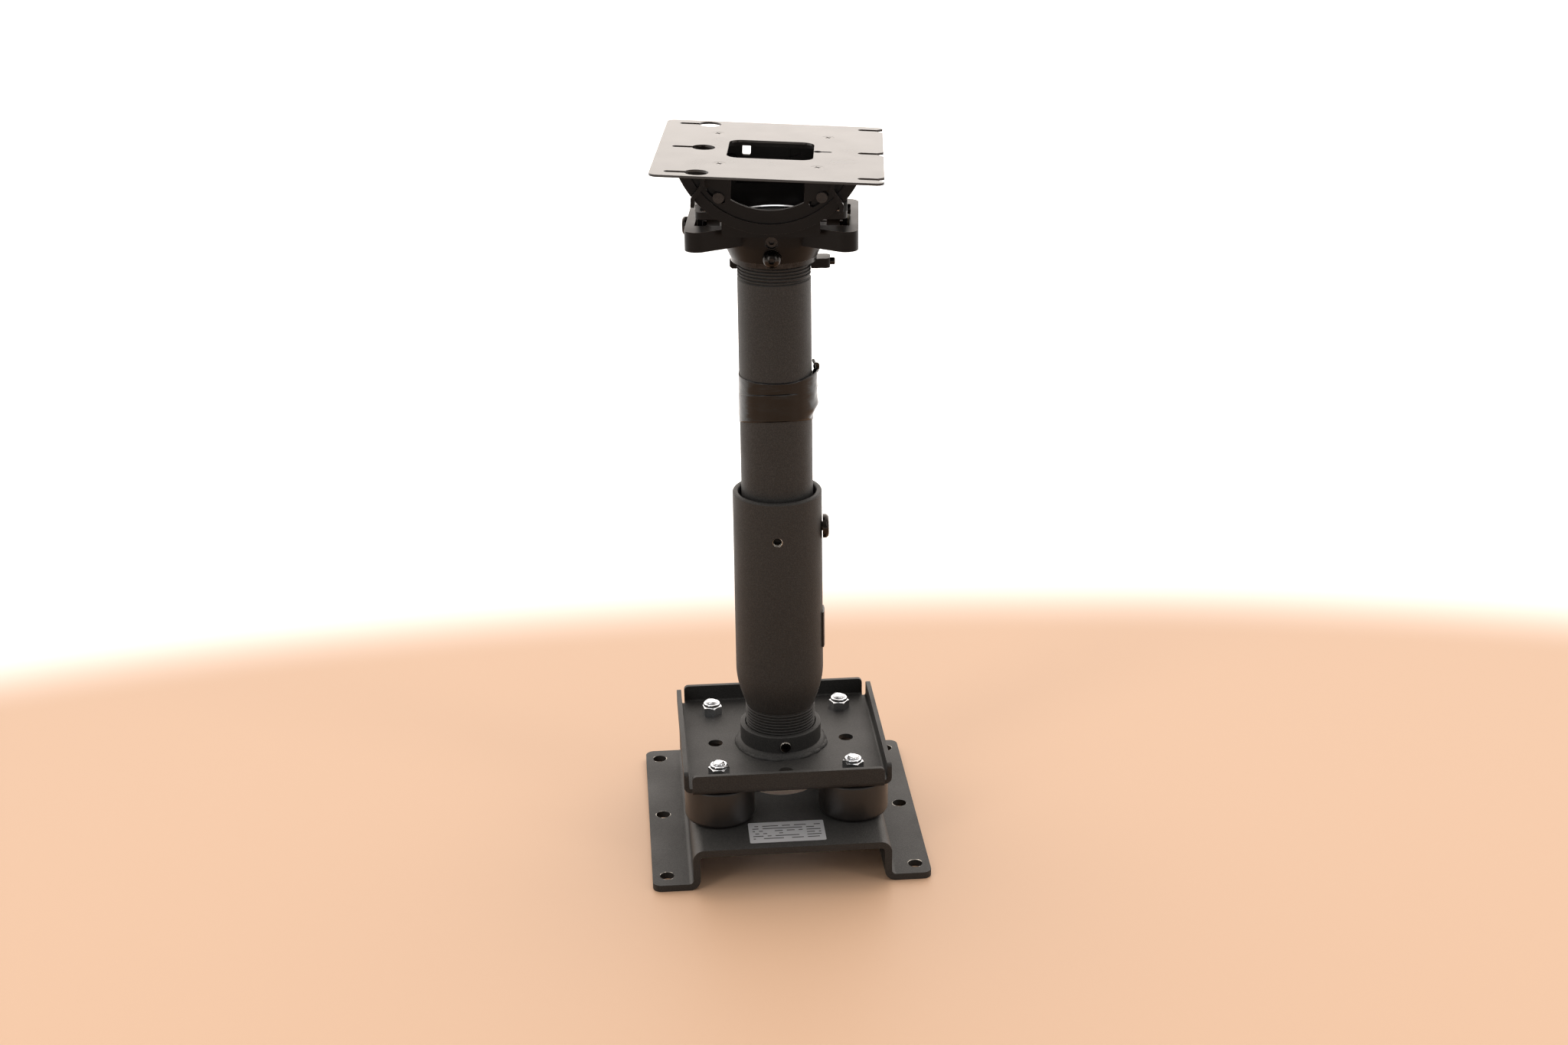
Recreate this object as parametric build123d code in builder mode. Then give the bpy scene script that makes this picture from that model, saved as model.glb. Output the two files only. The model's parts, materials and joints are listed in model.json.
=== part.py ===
from build123d import *
import os
from math import cos, degrees, radians, sin, sqrt

# A pipe-column ceiling mount, standing upside down on its own base, as it does on a bench.
# From the bottom up: a hat-shaped base channel, four rubber isolators, a flanged tray with a
# threaded socket, a two-stage telescoping column, and a head that turns (yaw), tips front to
# back (pitch) and leans side to side (roll) under a flat interface plate.
# Millimetres, +Z up, +X right, -Y the front. The origin is the centre of the base's footprint,
# on the column's axis.

# ---------------------------------------------------------------- driving dimensions
# Base channel, bent from one plate
BASE_X = 188.6
BASE_Y = 198.1
BASE_T = 4.8
DECK_TOP = 29.7
WEB_X = 67.0                  # outer face of each upright web
BASE_BEND_IN = 3.0
FOOT_HOLE_X = 84.35
FOOT_HOLE_Y = 86.1
FOOT_HOLE_R = 4.75
FOOT_CORNER_R = 6.0
CABLE_HOLE_R = 25.5

# Isolators and their studs (5/16 inch)
ISO_X = 46.0
ISO_Y = 48.0
ISO_R = 24.0
STUD_R = 3.97
STUD_HOLE_R = 4.4
BOND_PLATE_R = 18.0
BOND_PLATE_T = 2.0
NUT_AF = 12.7
NUT_H = 6.6
NUT_CROWN = 2.0               # rounded locking collar above the hexagon

# Tray
TRAY_X = 141.1
TRAY_Y = 144.3
TRAY_T = 3.2
TRAY_BOTTOM = 56.2
TRAY_FLOOR = TRAY_BOTTOM + TRAY_T
TRAY_TOP = 71.2
TRAY_HOLE_R = 5.0
TRAY_HOLE_X = 46.0
TRAY_HOLE_Y = 46.4
TRAY_RELIEF = 5.5             # corner gap between two upturned flanges

# Pipes: 1-1/2 inch and 2 inch
PIPE_R = 24.13
PIPE_BORE_R = 20.45
THREAD_ROOT_R = 23.2
SOCKET_R = 28.15
SOCKET_TOP = 75.5
SOCKET_WELD = 4.0
SET_SCREW_Z = 68.0
SET_SCREW_R = 3.6
OUTER_R = 30.16
OUTER_BORE_R = 26.25
OUTER_TOP = 248.5
OUTER_THREAD_TOP = 90.5
OUTER_SWAGE_TOP = 119.0
COLUMN_TURN = -4.55           # the column's cross holes sit a little round from the base's axes
LOCK_Z = 221.4
LOCK_HOLE_R = 3.2
INNER_BOTTOM = 152.0
INNER_THREAD = 397.0
INNER_TOP = 436.5
TAPE_BOTTOM = 298.0
TAPE_TOP = 331.0
TAPE_R = PIPE_R + 0.8

# Head: turned about the column, leaned about the roll axis
HEAD_YAW = -6.31
HEAD_ROLL = 2.64
PITCH_Z = 430.5               # pitch axis, along the head's X
ROLL_Z = 498.0                # roll axis, along the head's Y, above the plate
HUB_R = 26.6
HUB_FLANGE_R = 28.0
HUB_BOTTOM = 408.7
HUB_FLANGE_T = 3.2
CAST_BOTTOM = HUB_BOTTOM + HUB_FLANGE_T + 0.1
CAST_SEAT = 433.0             # top of the casting's bore, under the retaining ring
ARM_BOTTOM = 424.0
ARM_TOP = 437.0
RAIL_X = 55.0
RAIL_T = 5.8
CORNER_Y = 44.0
CRADLE_X = 47.9
CRADLE_Y = 40.9
SHEET = 3.0
ARC_R = 62.0
ARC_INNER_R = 47.0
BAND_INNER_R = 55.5           # inner edge of the raised band along the arc
WALL_Y = CRADLE_Y + 0.3       # inner face of the roll bracket's front and rear walls
CUT_HALF = 23.0               # half width of the window in the front wall
BAND_T = 1.5
TAB_Y = 50.5
ROLL_SCREW_ANGLE = 40.0       # from straight down, on the slots' centre line
ROLL_SLOT_R = 50.2
ROLL_SLOT_HALF = 5.6          # degrees
ROLL_SCREW_R = 2.0

# Interface plate
PLATE_X = 143.8
PLATE_Y = 160.9
PLATE_T = 1.5
PLATE_TOP = 479.65
PLATE_CORNER = 5.5
KEY_Y = 70.0                  # rows of keyholes and slots, front, middle and rear
BRACKET_T = 2.5

ISO_SPOTS = [(x, y) for y in (-ISO_Y, ISO_Y) for x in (-ISO_X, ISO_X)]
ISO_NAMES = ["front_left", "front_right", "rear_left", "rear_right"]
STUD_SPOTS = GridLocations(2 * ISO_X, 2 * ISO_Y, 2, 2)

# ---------------------------------------------------------------- working planes
HEAD = Plane.XY.rotated((0, 0, HEAD_YAW))
LEAN = Axis((0, 0, 0), HEAD.y_dir)
ROLLED = Plane(
    (0, 0, ROLL_Z), x_dir=HEAD.x_dir.rotate(LEAN, HEAD_ROLL), z_dir=HEAD.z_dir.rotate(LEAN, HEAD_ROLL)
).offset(-ROLL_Z)
COLUMN = Plane.XY.rotated((0, 0, COLUMN_TURN))


def facing_front(frame, y=0.0):
    """Upright plane across the frame at y: its x runs right, its y runs up, it faces the front."""
    return Plane(frame.from_local_coords((0, y, 0)), x_dir=frame.x_dir, z_dir=-frame.y_dir)


def facing_right(frame, x=0.0):
    """Upright plane along the frame at x: its x runs to the rear, its y runs up."""
    return Plane(frame.from_local_coords((x, 0, 0)), x_dir=frame.y_dir, z_dir=frame.x_dir)


os.makedirs("parts", exist_ok=True)


def finish(builder, name):
    """Label a finished piece and write it as its own file."""
    builder.part.label = name
    export_step(builder.part, f"parts/{name}.step")


def far_rim(builder, frame, spot):
    """The circular edge of a piece that is nearest to a spot in a frame."""
    rings = builder.edges().filter_by(GeomType.CIRCLE)
    return rings.sort_by_distance(frame.from_local_coords(spot))[0]


# ---------------------------------------------------------------- base
hat_half = [
    (0, DECK_TOP), (WEB_X, DECK_TOP), (WEB_X, BASE_T), (BASE_X / 2, BASE_T), (BASE_X / 2, 0),
    (WEB_X - BASE_T, 0), (WEB_X - BASE_T, DECK_TOP - BASE_T), (0, DECK_TOP - BASE_T),
]
with BuildPart() as base_channel:
    with BuildSketch(Plane.XZ):
        with BuildLine():
            Polyline(*hat_half, close=True)
        make_face()
        outside = [v for v in vertices() if abs(v.X - WEB_X) < 0.01 and v.Y > DECK_TOP - 1]
        outside += [v for v in vertices() if abs(v.X - WEB_X + BASE_T) < 0.01 and v.Y < 1]
        fillet(outside, BASE_BEND_IN + BASE_T)
        inside = [v for v in vertices() if abs(v.X - WEB_X) < 0.01 and abs(v.Y - BASE_T) < 0.01]
        inside += [v for v in vertices() if abs(v.X - WEB_X + BASE_T) < 0.01 and v.Y > 20]
        fillet(inside, BASE_BEND_IN)
        mirror(about=Plane.YZ)
    extrude(amount=BASE_Y / 2, both=True)
    corners = base_channel.edges().filter_by(Axis.Z).filter_by_position(Axis.Z, 0, BASE_T)
    fillet([e for e in corners if abs(e.center().X) > BASE_X / 2 - 1], FOOT_CORNER_R)
    with GridLocations(2 * FOOT_HOLE_X, FOOT_HOLE_Y, 2, 3):
        Hole(FOOT_HOLE_R)
    with Locations((0, 0, DECK_TOP)):
        Hole(CABLE_HOLE_R)
    with STUD_SPOTS:
        Hole(STUD_HOLE_R)
finish(base_channel, "base_channel")

LABEL_X = 51.5
LABEL_Y = 27.5
LABEL_T = 0.25
LABEL_SPOT = (-2.3, -78.2)
with BuildPart() as rating_label:
    with BuildSketch(Plane.XY.offset(DECK_TOP)):
        with Locations(LABEL_SPOT):
            RectangleRounded(LABEL_X, LABEL_Y, 1.2)
    extrude(amount=LABEL_T)
finish(rating_label, "rating_label")

for spot, corner in zip(ISO_SPOTS, ISO_NAMES):
    with BuildPart() as isolator:
        with BuildSketch(Plane.XY.offset(DECK_TOP)):
            with Locations(spot):
                Circle(ISO_R)
        extrude(amount=TRAY_BOTTOM - DECK_TOP)
        fillet(isolator.edges().group_by(Axis.Z)[0], 3.5)
        fillet(isolator.edges().group_by(Axis.Z)[-1], 1.0)
        for level in (DECK_TOP, TRAY_BOTTOM - BOND_PLATE_T):
            with BuildSketch(Plane.XY.offset(level)):
                with Locations(spot):
                    Circle(BOND_PLATE_R)
            extrude(amount=BOND_PLATE_T, mode=Mode.SUBTRACT)
    finish(isolator, f"isolator_{corner}")

with BuildPart() as lower_studs:
    with BuildSketch(Plane.XY.offset(DECK_TOP)):
        with STUD_SPOTS:
            Circle(BOND_PLATE_R)
    extrude(amount=BOND_PLATE_T)
    with BuildSketch(Plane.XY.offset(DECK_TOP)):
        with STUD_SPOTS:
            Circle(STUD_R)
    extrude(amount=-(BASE_T + NUT_H + NUT_CROWN))
finish(lower_studs, "isolator_lower_studs")

with BuildPart() as upper_studs:
    with BuildSketch(Plane.XY.offset(TRAY_BOTTOM)):
        with STUD_SPOTS:
            Circle(BOND_PLATE_R)
    extrude(amount=-BOND_PLATE_T)
    with BuildSketch(Plane.XY.offset(TRAY_BOTTOM)):
        with STUD_SPOTS:
            Circle(STUD_R)
    extrude(amount=TRAY_T + NUT_H + NUT_CROWN + 1.6)
    fillet(upper_studs.edges().group_by(Axis.Z)[-1], 1.8)
finish(upper_studs, "isolator_upper_studs")


def lock_nuts(name, level, away):
    """Four hexagon lock nuts seated at a level, crowned on the side that faces away."""
    with BuildPart() as nuts:
        with BuildSketch(Plane.XY.offset(level)):
            with STUD_SPOTS:
                RegularPolygon(NUT_AF / 2, 6, major_radius=False, rotation=30)
        extrude(amount=away * NUT_H)
        with BuildSketch(Plane.XY.offset(level + away * NUT_H)):
            with STUD_SPOTS:
                Circle(NUT_AF / 2 - 0.7)
        extrude(amount=away * NUT_CROWN)
        rims = nuts.edges().group_by(Axis.Z)[-1 if away > 0 else 0]
        fillet(rims, 1.0)
        with BuildSketch(Plane.XY.offset(level)):
            with STUD_SPOTS:
                Circle(STUD_R + 0.02)
        extrude(amount=away * (NUT_H + NUT_CROWN), mode=Mode.SUBTRACT)
    finish(nuts, name)


lock_nuts("deck_lock_nuts", DECK_TOP - BASE_T, -1)
lock_nuts("tray_lock_nuts", TRAY_FLOOR, 1)

# ---------------------------------------------------------------- tray and socket
TRAY_BEND_OUT = 4.6
TRAY_BEND_IN = TRAY_BEND_OUT - TRAY_T
tray_height = TRAY_TOP - TRAY_BOTTOM
with BuildPart() as tray_inside:
    with BuildSketch(Plane.XY.offset(TRAY_FLOOR)):
        Rectangle(TRAY_X - 2 * TRAY_T, TRAY_Y - 2 * TRAY_T)
    extrude(amount=tray_height)
    fillet(tray_inside.edges().group_by(Axis.Z)[0], TRAY_BEND_IN)

with BuildPart() as tray:
    with BuildSketch(Plane.XY.offset(TRAY_BOTTOM)):
        Rectangle(TRAY_X, TRAY_Y)
    extrude(amount=tray_height)
    fillet(tray.edges().group_by(Axis.Z)[0], TRAY_BEND_OUT)
    add(tray_inside.part, mode=Mode.SUBTRACT)
    with BuildSketch(Plane.XY.offset(TRAY_BOTTOM)):
        with GridLocations(TRAY_X, TRAY_Y, 2, 2):
            Rectangle(2 * TRAY_RELIEF, 2 * TRAY_RELIEF)
    extrude(amount=tray_height, mode=Mode.SUBTRACT)
    ends = tray.edges().filter_by(lambda e: e.geom_type == GeomType.LINE and e.length < TRAY_T + 0.1)
    fillet(ends.filter_by_position(Axis.Z, TRAY_TOP - 0.1, TRAY_TOP + 0.1), 3.0)
    with STUD_SPOTS:
        Hole(STUD_HOLE_R)
    with Locations((TRAY_HOLE_X, 0), (-TRAY_HOLE_X, 0), (0, TRAY_HOLE_Y), (0, -TRAY_HOLE_Y)):
        Hole(TRAY_HOLE_R)
    with Locations((0, 0, TRAY_FLOOR)):
        Hole(PIPE_BORE_R)
finish(tray, "tray_pan")

SET_SCREW_TURN = 2.4
SOCKET_FRONT = facing_front(Plane.XY.rotated((0, 0, SET_SCREW_TURN)), -SOCKET_R - 2)
with BuildPart() as socket:
    with BuildSketch(Plane.XZ):
        with BuildLine():
            Polyline(
                (PIPE_R + 0.05, TRAY_FLOOR), (PIPE_R + 0.05, SOCKET_TOP), (SOCKET_R, SOCKET_TOP),
                (SOCKET_R, TRAY_FLOOR + SOCKET_WELD),
            )
            RadiusArc(
                (SOCKET_R, TRAY_FLOOR + SOCKET_WELD), (SOCKET_R + SOCKET_WELD, TRAY_FLOOR),
                SOCKET_WELD * 1.6,
            )
            Line((SOCKET_R + SOCKET_WELD, TRAY_FLOOR), (PIPE_R + 0.05, TRAY_FLOOR))
        make_face()
    revolve(axis=Axis.Z)
    chamfer(socket.edges().group_by(Axis.Z)[-1], 0.8)
    with BuildSketch(SOCKET_FRONT):
        with Locations((0, SET_SCREW_Z)):
            Circle(SET_SCREW_R + 0.4)
    extrude(amount=-10, mode=Mode.SUBTRACT)
finish(socket, "column_socket")

with BuildPart() as socket_screw:
    with BuildSketch(SOCKET_FRONT.offset(-1.2)):
        with Locations((0, SET_SCREW_Z)):
            Circle(SET_SCREW_R)
            RegularPolygon(1.9, 6, mode=Mode.SUBTRACT)
    extrude(amount=-3.6)
    with BuildSketch(SOCKET_FRONT.offset(-4.7)):
        with Locations((0, SET_SCREW_Z)):
            Circle(SET_SCREW_R)
    extrude(amount=-1.2)
finish(socket_screw, "socket_set_screw")

# ---------------------------------------------------------------- outer column
OUTER_LOW = TRAY_FLOOR + 1.0
RIM_ROUND = 1.4
with BuildPart() as outer_column:
    with BuildSketch(Plane.XZ):
        with BuildLine():
            Polyline((PIPE_BORE_R, OUTER_LOW), (THREAD_ROOT_R, OUTER_LOW), (THREAD_ROOT_R, OUTER_THREAD_TOP),
                     (PIPE_R, OUTER_THREAD_TOP + 1.0))
            Spline((PIPE_R, OUTER_THREAD_TOP + 1.0), (OUTER_R, OUTER_SWAGE_TOP),
                   tangents=[(0.32, 1), (0, 1)])
            Polyline((OUTER_R, OUTER_SWAGE_TOP), (OUTER_R, OUTER_TOP), (OUTER_BORE_R, OUTER_TOP),
                     (OUTER_BORE_R, OUTER_SWAGE_TOP))
            Spline((OUTER_BORE_R, OUTER_SWAGE_TOP), (PIPE_BORE_R, OUTER_THREAD_TOP + 3.0),
                   tangents=[(0, -1), (-0.32, -1)])
            Line((PIPE_BORE_R, OUTER_THREAD_TOP + 3.0), (PIPE_BORE_R, OUTER_LOW))
        make_face()
    revolve(axis=Axis.Z)
    fillet(outer_column.edges().group_by(Axis.Z)[-1], RIM_ROUND)
    with BuildSketch(facing_front(COLUMN, -OUTER_R - 2)):
        with Locations((0, LOCK_Z)):
            Circle(LOCK_HOLE_R)
    extrude(amount=-8, mode=Mode.SUBTRACT)
    with BuildSketch(facing_right(COLUMN, OUTER_R + 2)):
        with Locations((0, LOCK_Z)):
            Circle(LOCK_HOLE_R)
    extrude(amount=-8, mode=Mode.SUBTRACT)
finish(outer_column, "outer_column")

LOCK_HEAD_R = 8.3
LOCK_HEAD_T = 4.3
with BuildPart() as lock_bolt:
    with BuildSketch(facing_right(COLUMN, OUTER_R + 0.35)):
        with Locations((0, LOCK_Z)):
            Circle(LOCK_HEAD_R)
    extrude(amount=LOCK_HEAD_T)
    fillet(far_rim(lock_bolt, COLUMN, (OUTER_R + 20, 0, LOCK_Z)), 2.8)
    with BuildSketch(facing_right(COLUMN, OUTER_R + 0.35)):
        with Locations((0, LOCK_Z)):
            Circle(LOCK_HOLE_R - 0.05)
    extrude(amount=-(OUTER_R + 0.35 - PIPE_R - 0.3))
    with BuildSketch(facing_right(COLUMN, OUTER_R + 0.35 + LOCK_HEAD_T)):
        with Locations((0, LOCK_Z)):
            RegularPolygon(2.4, 6)
    extrude(amount=-2.6, mode=Mode.SUBTRACT)
finish(lock_bolt, "column_lock_bolt")

STRIP_LOW = 134.0
STRIP_HIGH = 160.0
STRIP_T = 1.3
STRIP_HALF = 13.0             # degrees each side of the column's right-hand side
with BuildPart() as strip:
    with BuildSketch(COLUMN.offset(STRIP_LOW)):
        Circle(OUTER_R + STRIP_T)
        Circle(OUTER_R + 0.02, mode=Mode.SUBTRACT)
        with BuildLine():
            reach = 2 * OUTER_R
            Polyline((0, 0), (reach, -reach * sin(radians(STRIP_HALF))),
                     (reach, reach * sin(radians(STRIP_HALF))), close=True)
        make_face(mode=Mode.INTERSECT)
    extrude(amount=STRIP_HIGH - STRIP_LOW)
finish(strip, "side_cover_strip")

# ---------------------------------------------------------------- inner column
with BuildPart() as inner_column:
    with BuildSketch(Plane.XZ):
        with BuildLine():
            Polyline(
                (PIPE_BORE_R, INNER_BOTTOM), (PIPE_R, INNER_BOTTOM), (PIPE_R, INNER_THREAD - 1.0),
                (THREAD_ROOT_R, INNER_THREAD), (THREAD_ROOT_R, INNER_TOP), (PIPE_BORE_R, INNER_TOP),
                close=True,
            )
        make_face()
    revolve(axis=Axis.Z)
    chamfer(inner_column.edges().group_by(Axis.Z)[-1], 0.7)
finish(inner_column, "inner_column")

BUSH_H = 22.0
with BuildPart() as guide_bush:
    with BuildSketch(Plane.XY.offset(INNER_BOTTOM + 2)):
        Circle(OUTER_BORE_R - 0.06)
        Circle(PIPE_R + 0.02, mode=Mode.SUBTRACT)
    extrude(amount=BUSH_H)
finish(guide_bush, "guide_bush")

with BuildPart() as tape:
    with BuildSketch(Plane.XY.offset(TAPE_BOTTOM)):
        Circle(TAPE_R)
        Circle(PIPE_R + 0.02, mode=Mode.SUBTRACT)
    extrude(amount=TAPE_TOP - TAPE_BOTTOM)
finish(tape, "tape_wrap")

JAM_LOW = 401.6
JAM_HIGH = 408.0
JAM_R = 28.8
JAM_LOBE_X = 36.5
with BuildPart() as jam_ring:
    with BuildSketch(HEAD.offset(JAM_LOW)):
        Circle(JAM_R)
        with Locations((JAM_LOBE_X - 9, 7)):
            RectangleRounded(18, 13, 3)
        with Locations((0, -JAM_R)):
            Rectangle(2 * JAM_R + 30, 2 * JAM_R, mode=Mode.SUBTRACT)
        Circle(PIPE_R + 0.1, mode=Mode.SUBTRACT)
    extrude(amount=JAM_HIGH - JAM_LOW)
    chamfer(jam_ring.edges().group_by(Axis.Z)[0].filter_by(GeomType.CIRCLE).sort_by(Edge.length)[-1], 1.5)
finish(jam_ring, "jam_ring")

with BuildPart() as jam_screw:
    with BuildSketch(facing_right(HEAD, JAM_LOBE_X)):
        with Locations((7, (JAM_LOW + JAM_HIGH) / 2)):
            Circle(2.4)
    extrude(amount=3.2)
    fillet(far_rim(jam_screw, HEAD, (JAM_LOBE_X + 20, 7, JAM_LOW)), 0.9)
finish(jam_screw, "jam_ring_screw")

RING_R = 31.0
RING_BOTTOM = CAST_SEAT + 0.25
RING_TOP = 437.2
with BuildPart() as yaw_hub:
    with BuildSketch(Plane.XY.offset(HUB_BOTTOM)):
        Circle(HUB_FLANGE_R)
        Circle(PIPE_R + 0.02, mode=Mode.SUBTRACT)
    extrude(amount=HUB_FLANGE_T)
    with BuildSketch(Plane.XY.offset(HUB_BOTTOM + HUB_FLANGE_T)):
        Circle(HUB_R)
        Circle(PIPE_R + 0.02, mode=Mode.SUBTRACT)
    extrude(amount=RING_TOP - 0.6 - HUB_BOTTOM - HUB_FLANGE_T)
finish(yaw_hub, "yaw_hub")

with BuildPart() as retaining_ring:
    with BuildSketch(Plane.XY.offset(RING_BOTTOM)):
        Circle(RING_R)
        Circle(HUB_R + 0.03, mode=Mode.SUBTRACT)
    extrude(amount=RING_TOP - RING_BOTTOM)
    chamfer(retaining_ring.edges().group_by(Axis.Z)[-1], 0.8)
finish(retaining_ring, "yaw_retaining_ring")

# ---------------------------------------------------------------- head casting
CONE_LOW_R = 28.6
CONE_HIGH_R = 34.5
ARM_END_R = 8.0
ARM_ROOT = 12.0
LOCK_BALL_Z = 416.6
LOCK_BALL_R = 5.9
LOCK_SHANK_R = 2.6
LOCK_SEAT_Y = 29.6            # flat that the lock screw's head sits on, cut into the cone
RECESS_Z = 427.5
RECESS_R = 3.9
PIVOT_R = 3.0
with BuildPart() as casting:
    with BuildSketch(HEAD.offset(CAST_BOTTOM)):
        Circle(CONE_LOW_R)
    with BuildSketch(HEAD.offset(ARM_BOTTOM + 1)):
        Circle(CONE_HIGH_R)
    loft()
    with BuildSketch(HEAD.offset(ARM_BOTTOM + 1)):
        Circle(CONE_HIGH_R)
    extrude(amount=CAST_SEAT - ARM_BOTTOM - 1)
    for side in (-1, 1):
        for end in (-1, 1):
            with BuildSketch(HEAD.offset(ARM_BOTTOM)):
                with Locations((side * (RAIL_X - ARM_END_R), end * (CORNER_Y - ARM_END_R))):
                    Circle(ARM_END_R)
                with Locations((side * 17, end * 13)):
                    Circle(ARM_ROOT)
                make_hull()
            extrude(amount=ARM_TOP - ARM_BOTTOM)
        with BuildSketch(HEAD.offset(ARM_BOTTOM)):
            with Locations((side * (RAIL_X - RAIL_T / 2), 0)):
                Rectangle(RAIL_T, 2 * (CORNER_Y - ARM_END_R))
        extrude(amount=ARM_TOP - ARM_BOTTOM)
    # the middle is open above the bore's seat, so the retaining ring can turn inside it
    with BuildSketch(HEAD.offset(CAST_SEAT)):
        Circle(CONE_HIGH_R)
        Rectangle(2 * (RAIL_X - RAIL_T), 2 * (CORNER_Y - 2.2 * ARM_END_R))
    extrude(amount=20, mode=Mode.SUBTRACT)
    with BuildSketch(HEAD.offset(CAST_BOTTOM)):
        Circle(HUB_R + 0.06)
    extrude(amount=30, mode=Mode.SUBTRACT)
    with BuildSketch(facing_front(HEAD, -CONE_HIGH_R - 5)):
        with Locations((0, LOCK_BALL_Z)):
            Circle(LOCK_SHANK_R + 0.02)
        with Locations((0, RECESS_Z)):
            Circle(RECESS_R)
    extrude(amount=-14, mode=Mode.SUBTRACT)
    with BuildSketch(facing_front(HEAD, -LOCK_SEAT_Y)):
        with Locations((0, LOCK_BALL_Z)):
            Circle(LOCK_BALL_R + 0.4)
    extrude(amount=20, mode=Mode.SUBTRACT)
    with BuildSketch(facing_right(HEAD, -RAIL_X - 1)):
        with Locations((0, PITCH_Z)):
            Circle(PIVOT_R + 0.02)
    extrude(amount=2 * RAIL_X + 2, mode=Mode.SUBTRACT)
finish(casting, "head_casting")

with BuildPart() as yaw_lock:
    ball_at = HEAD.from_local_coords((0, -LOCK_SEAT_Y - 3.0, LOCK_BALL_Z))
    with Locations(ball_at):
        Sphere(LOCK_BALL_R)
    with BuildSketch(facing_front(HEAD, -LOCK_SEAT_Y - 0.05)):
        with Locations((0, LOCK_BALL_Z)):
            Rectangle(4 * LOCK_BALL_R, 4 * LOCK_BALL_R)
    extrude(amount=-20, mode=Mode.SUBTRACT)
    with BuildSketch(facing_front(HEAD, -LOCK_SEAT_Y - 0.05)):
        with Locations((0, LOCK_BALL_Z)):
            Circle(LOCK_SHANK_R)
    extrude(amount=-(LOCK_SEAT_Y - HUB_R - 0.25))
    with BuildSketch(facing_front(HEAD, -LOCK_SEAT_Y - 3.0 - LOCK_BALL_R)):
        with Locations((0, LOCK_BALL_Z)):
            RegularPolygon(2.2, 6)
    extrude(amount=-3.4, mode=Mode.SUBTRACT)
finish(yaw_lock, "yaw_lock_screw")

with BuildPart() as recess_screw:
    with BuildSketch(facing_front(HEAD, -CONE_HIGH_R + 3.0)):
        with Locations((0, RECESS_Z)):
            Circle(RECESS_R - 0.05)
            RegularPolygon(2.0, 6, mode=Mode.SUBTRACT)
    extrude(amount=-2.6)
    with BuildSketch(facing_front(HEAD, -CONE_HIGH_R + 5.6)):
        with Locations((0, RECESS_Z)):
            Circle(RECESS_R - 0.05)
    extrude(amount=-2.0)
finish(recess_screw, "hub_set_screw")

# ---------------------------------------------------------------- pitch pivots
WASHER_R = 6.8
WASHER_T = RAIL_X - RAIL_T - CRADLE_X - 0.1
HEAD_ROUND_R = 6.1
HEAD_ROUND_T = 3.9
with BuildPart() as pivots:
    with BuildSketch(facing_right(HEAD, -RAIL_X - 0.05)):
        with Locations((0, PITCH_Z)):
            Circle(HEAD_ROUND_R)
    extrude(amount=-HEAD_ROUND_T)
    fillet(far_rim(pivots, HEAD, (-RAIL_X - 30, 0, PITCH_Z)), 2.4)
    with BuildSketch(facing_right(HEAD, -RAIL_X - 0.05)):
        with Locations((0, PITCH_Z)):
            Circle(PIVOT_R)
    extrude(amount=RAIL_X - CRADLE_X + SHEET + 2)
    with BuildSketch(facing_right(HEAD, RAIL_X - 0.6)):
        with Locations((0, PITCH_Z)):
            Circle(PIVOT_R)
    extrude(amount=-(RAIL_X - CRADLE_X + SHEET + 1.4))
    for face_x, sink in ((-RAIL_X - 0.05 - HEAD_ROUND_T, 2.2), (RAIL_X - 0.6, -2.2)):
        with BuildSketch(facing_right(HEAD, face_x)):
            with Locations((0, PITCH_Z)):
                RegularPolygon(1.8, 6)
        extrude(amount=sink, mode=Mode.SUBTRACT)
finish(pivots, "pitch_pivot_screws")

with BuildPart() as pivot_washers:
    for face_x, way in ((-CRADLE_X - 0.05, -1), (CRADLE_X + 0.05, 1)):
        with BuildSketch(facing_right(HEAD, face_x)):
            with Locations((0, PITCH_Z)):
                Circle(WASHER_R)
                Circle(PIVOT_R + 0.05, mode=Mode.SUBTRACT)
        extrude(amount=way * WASHER_T)
finish(pivot_washers, "pitch_washers")

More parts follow.
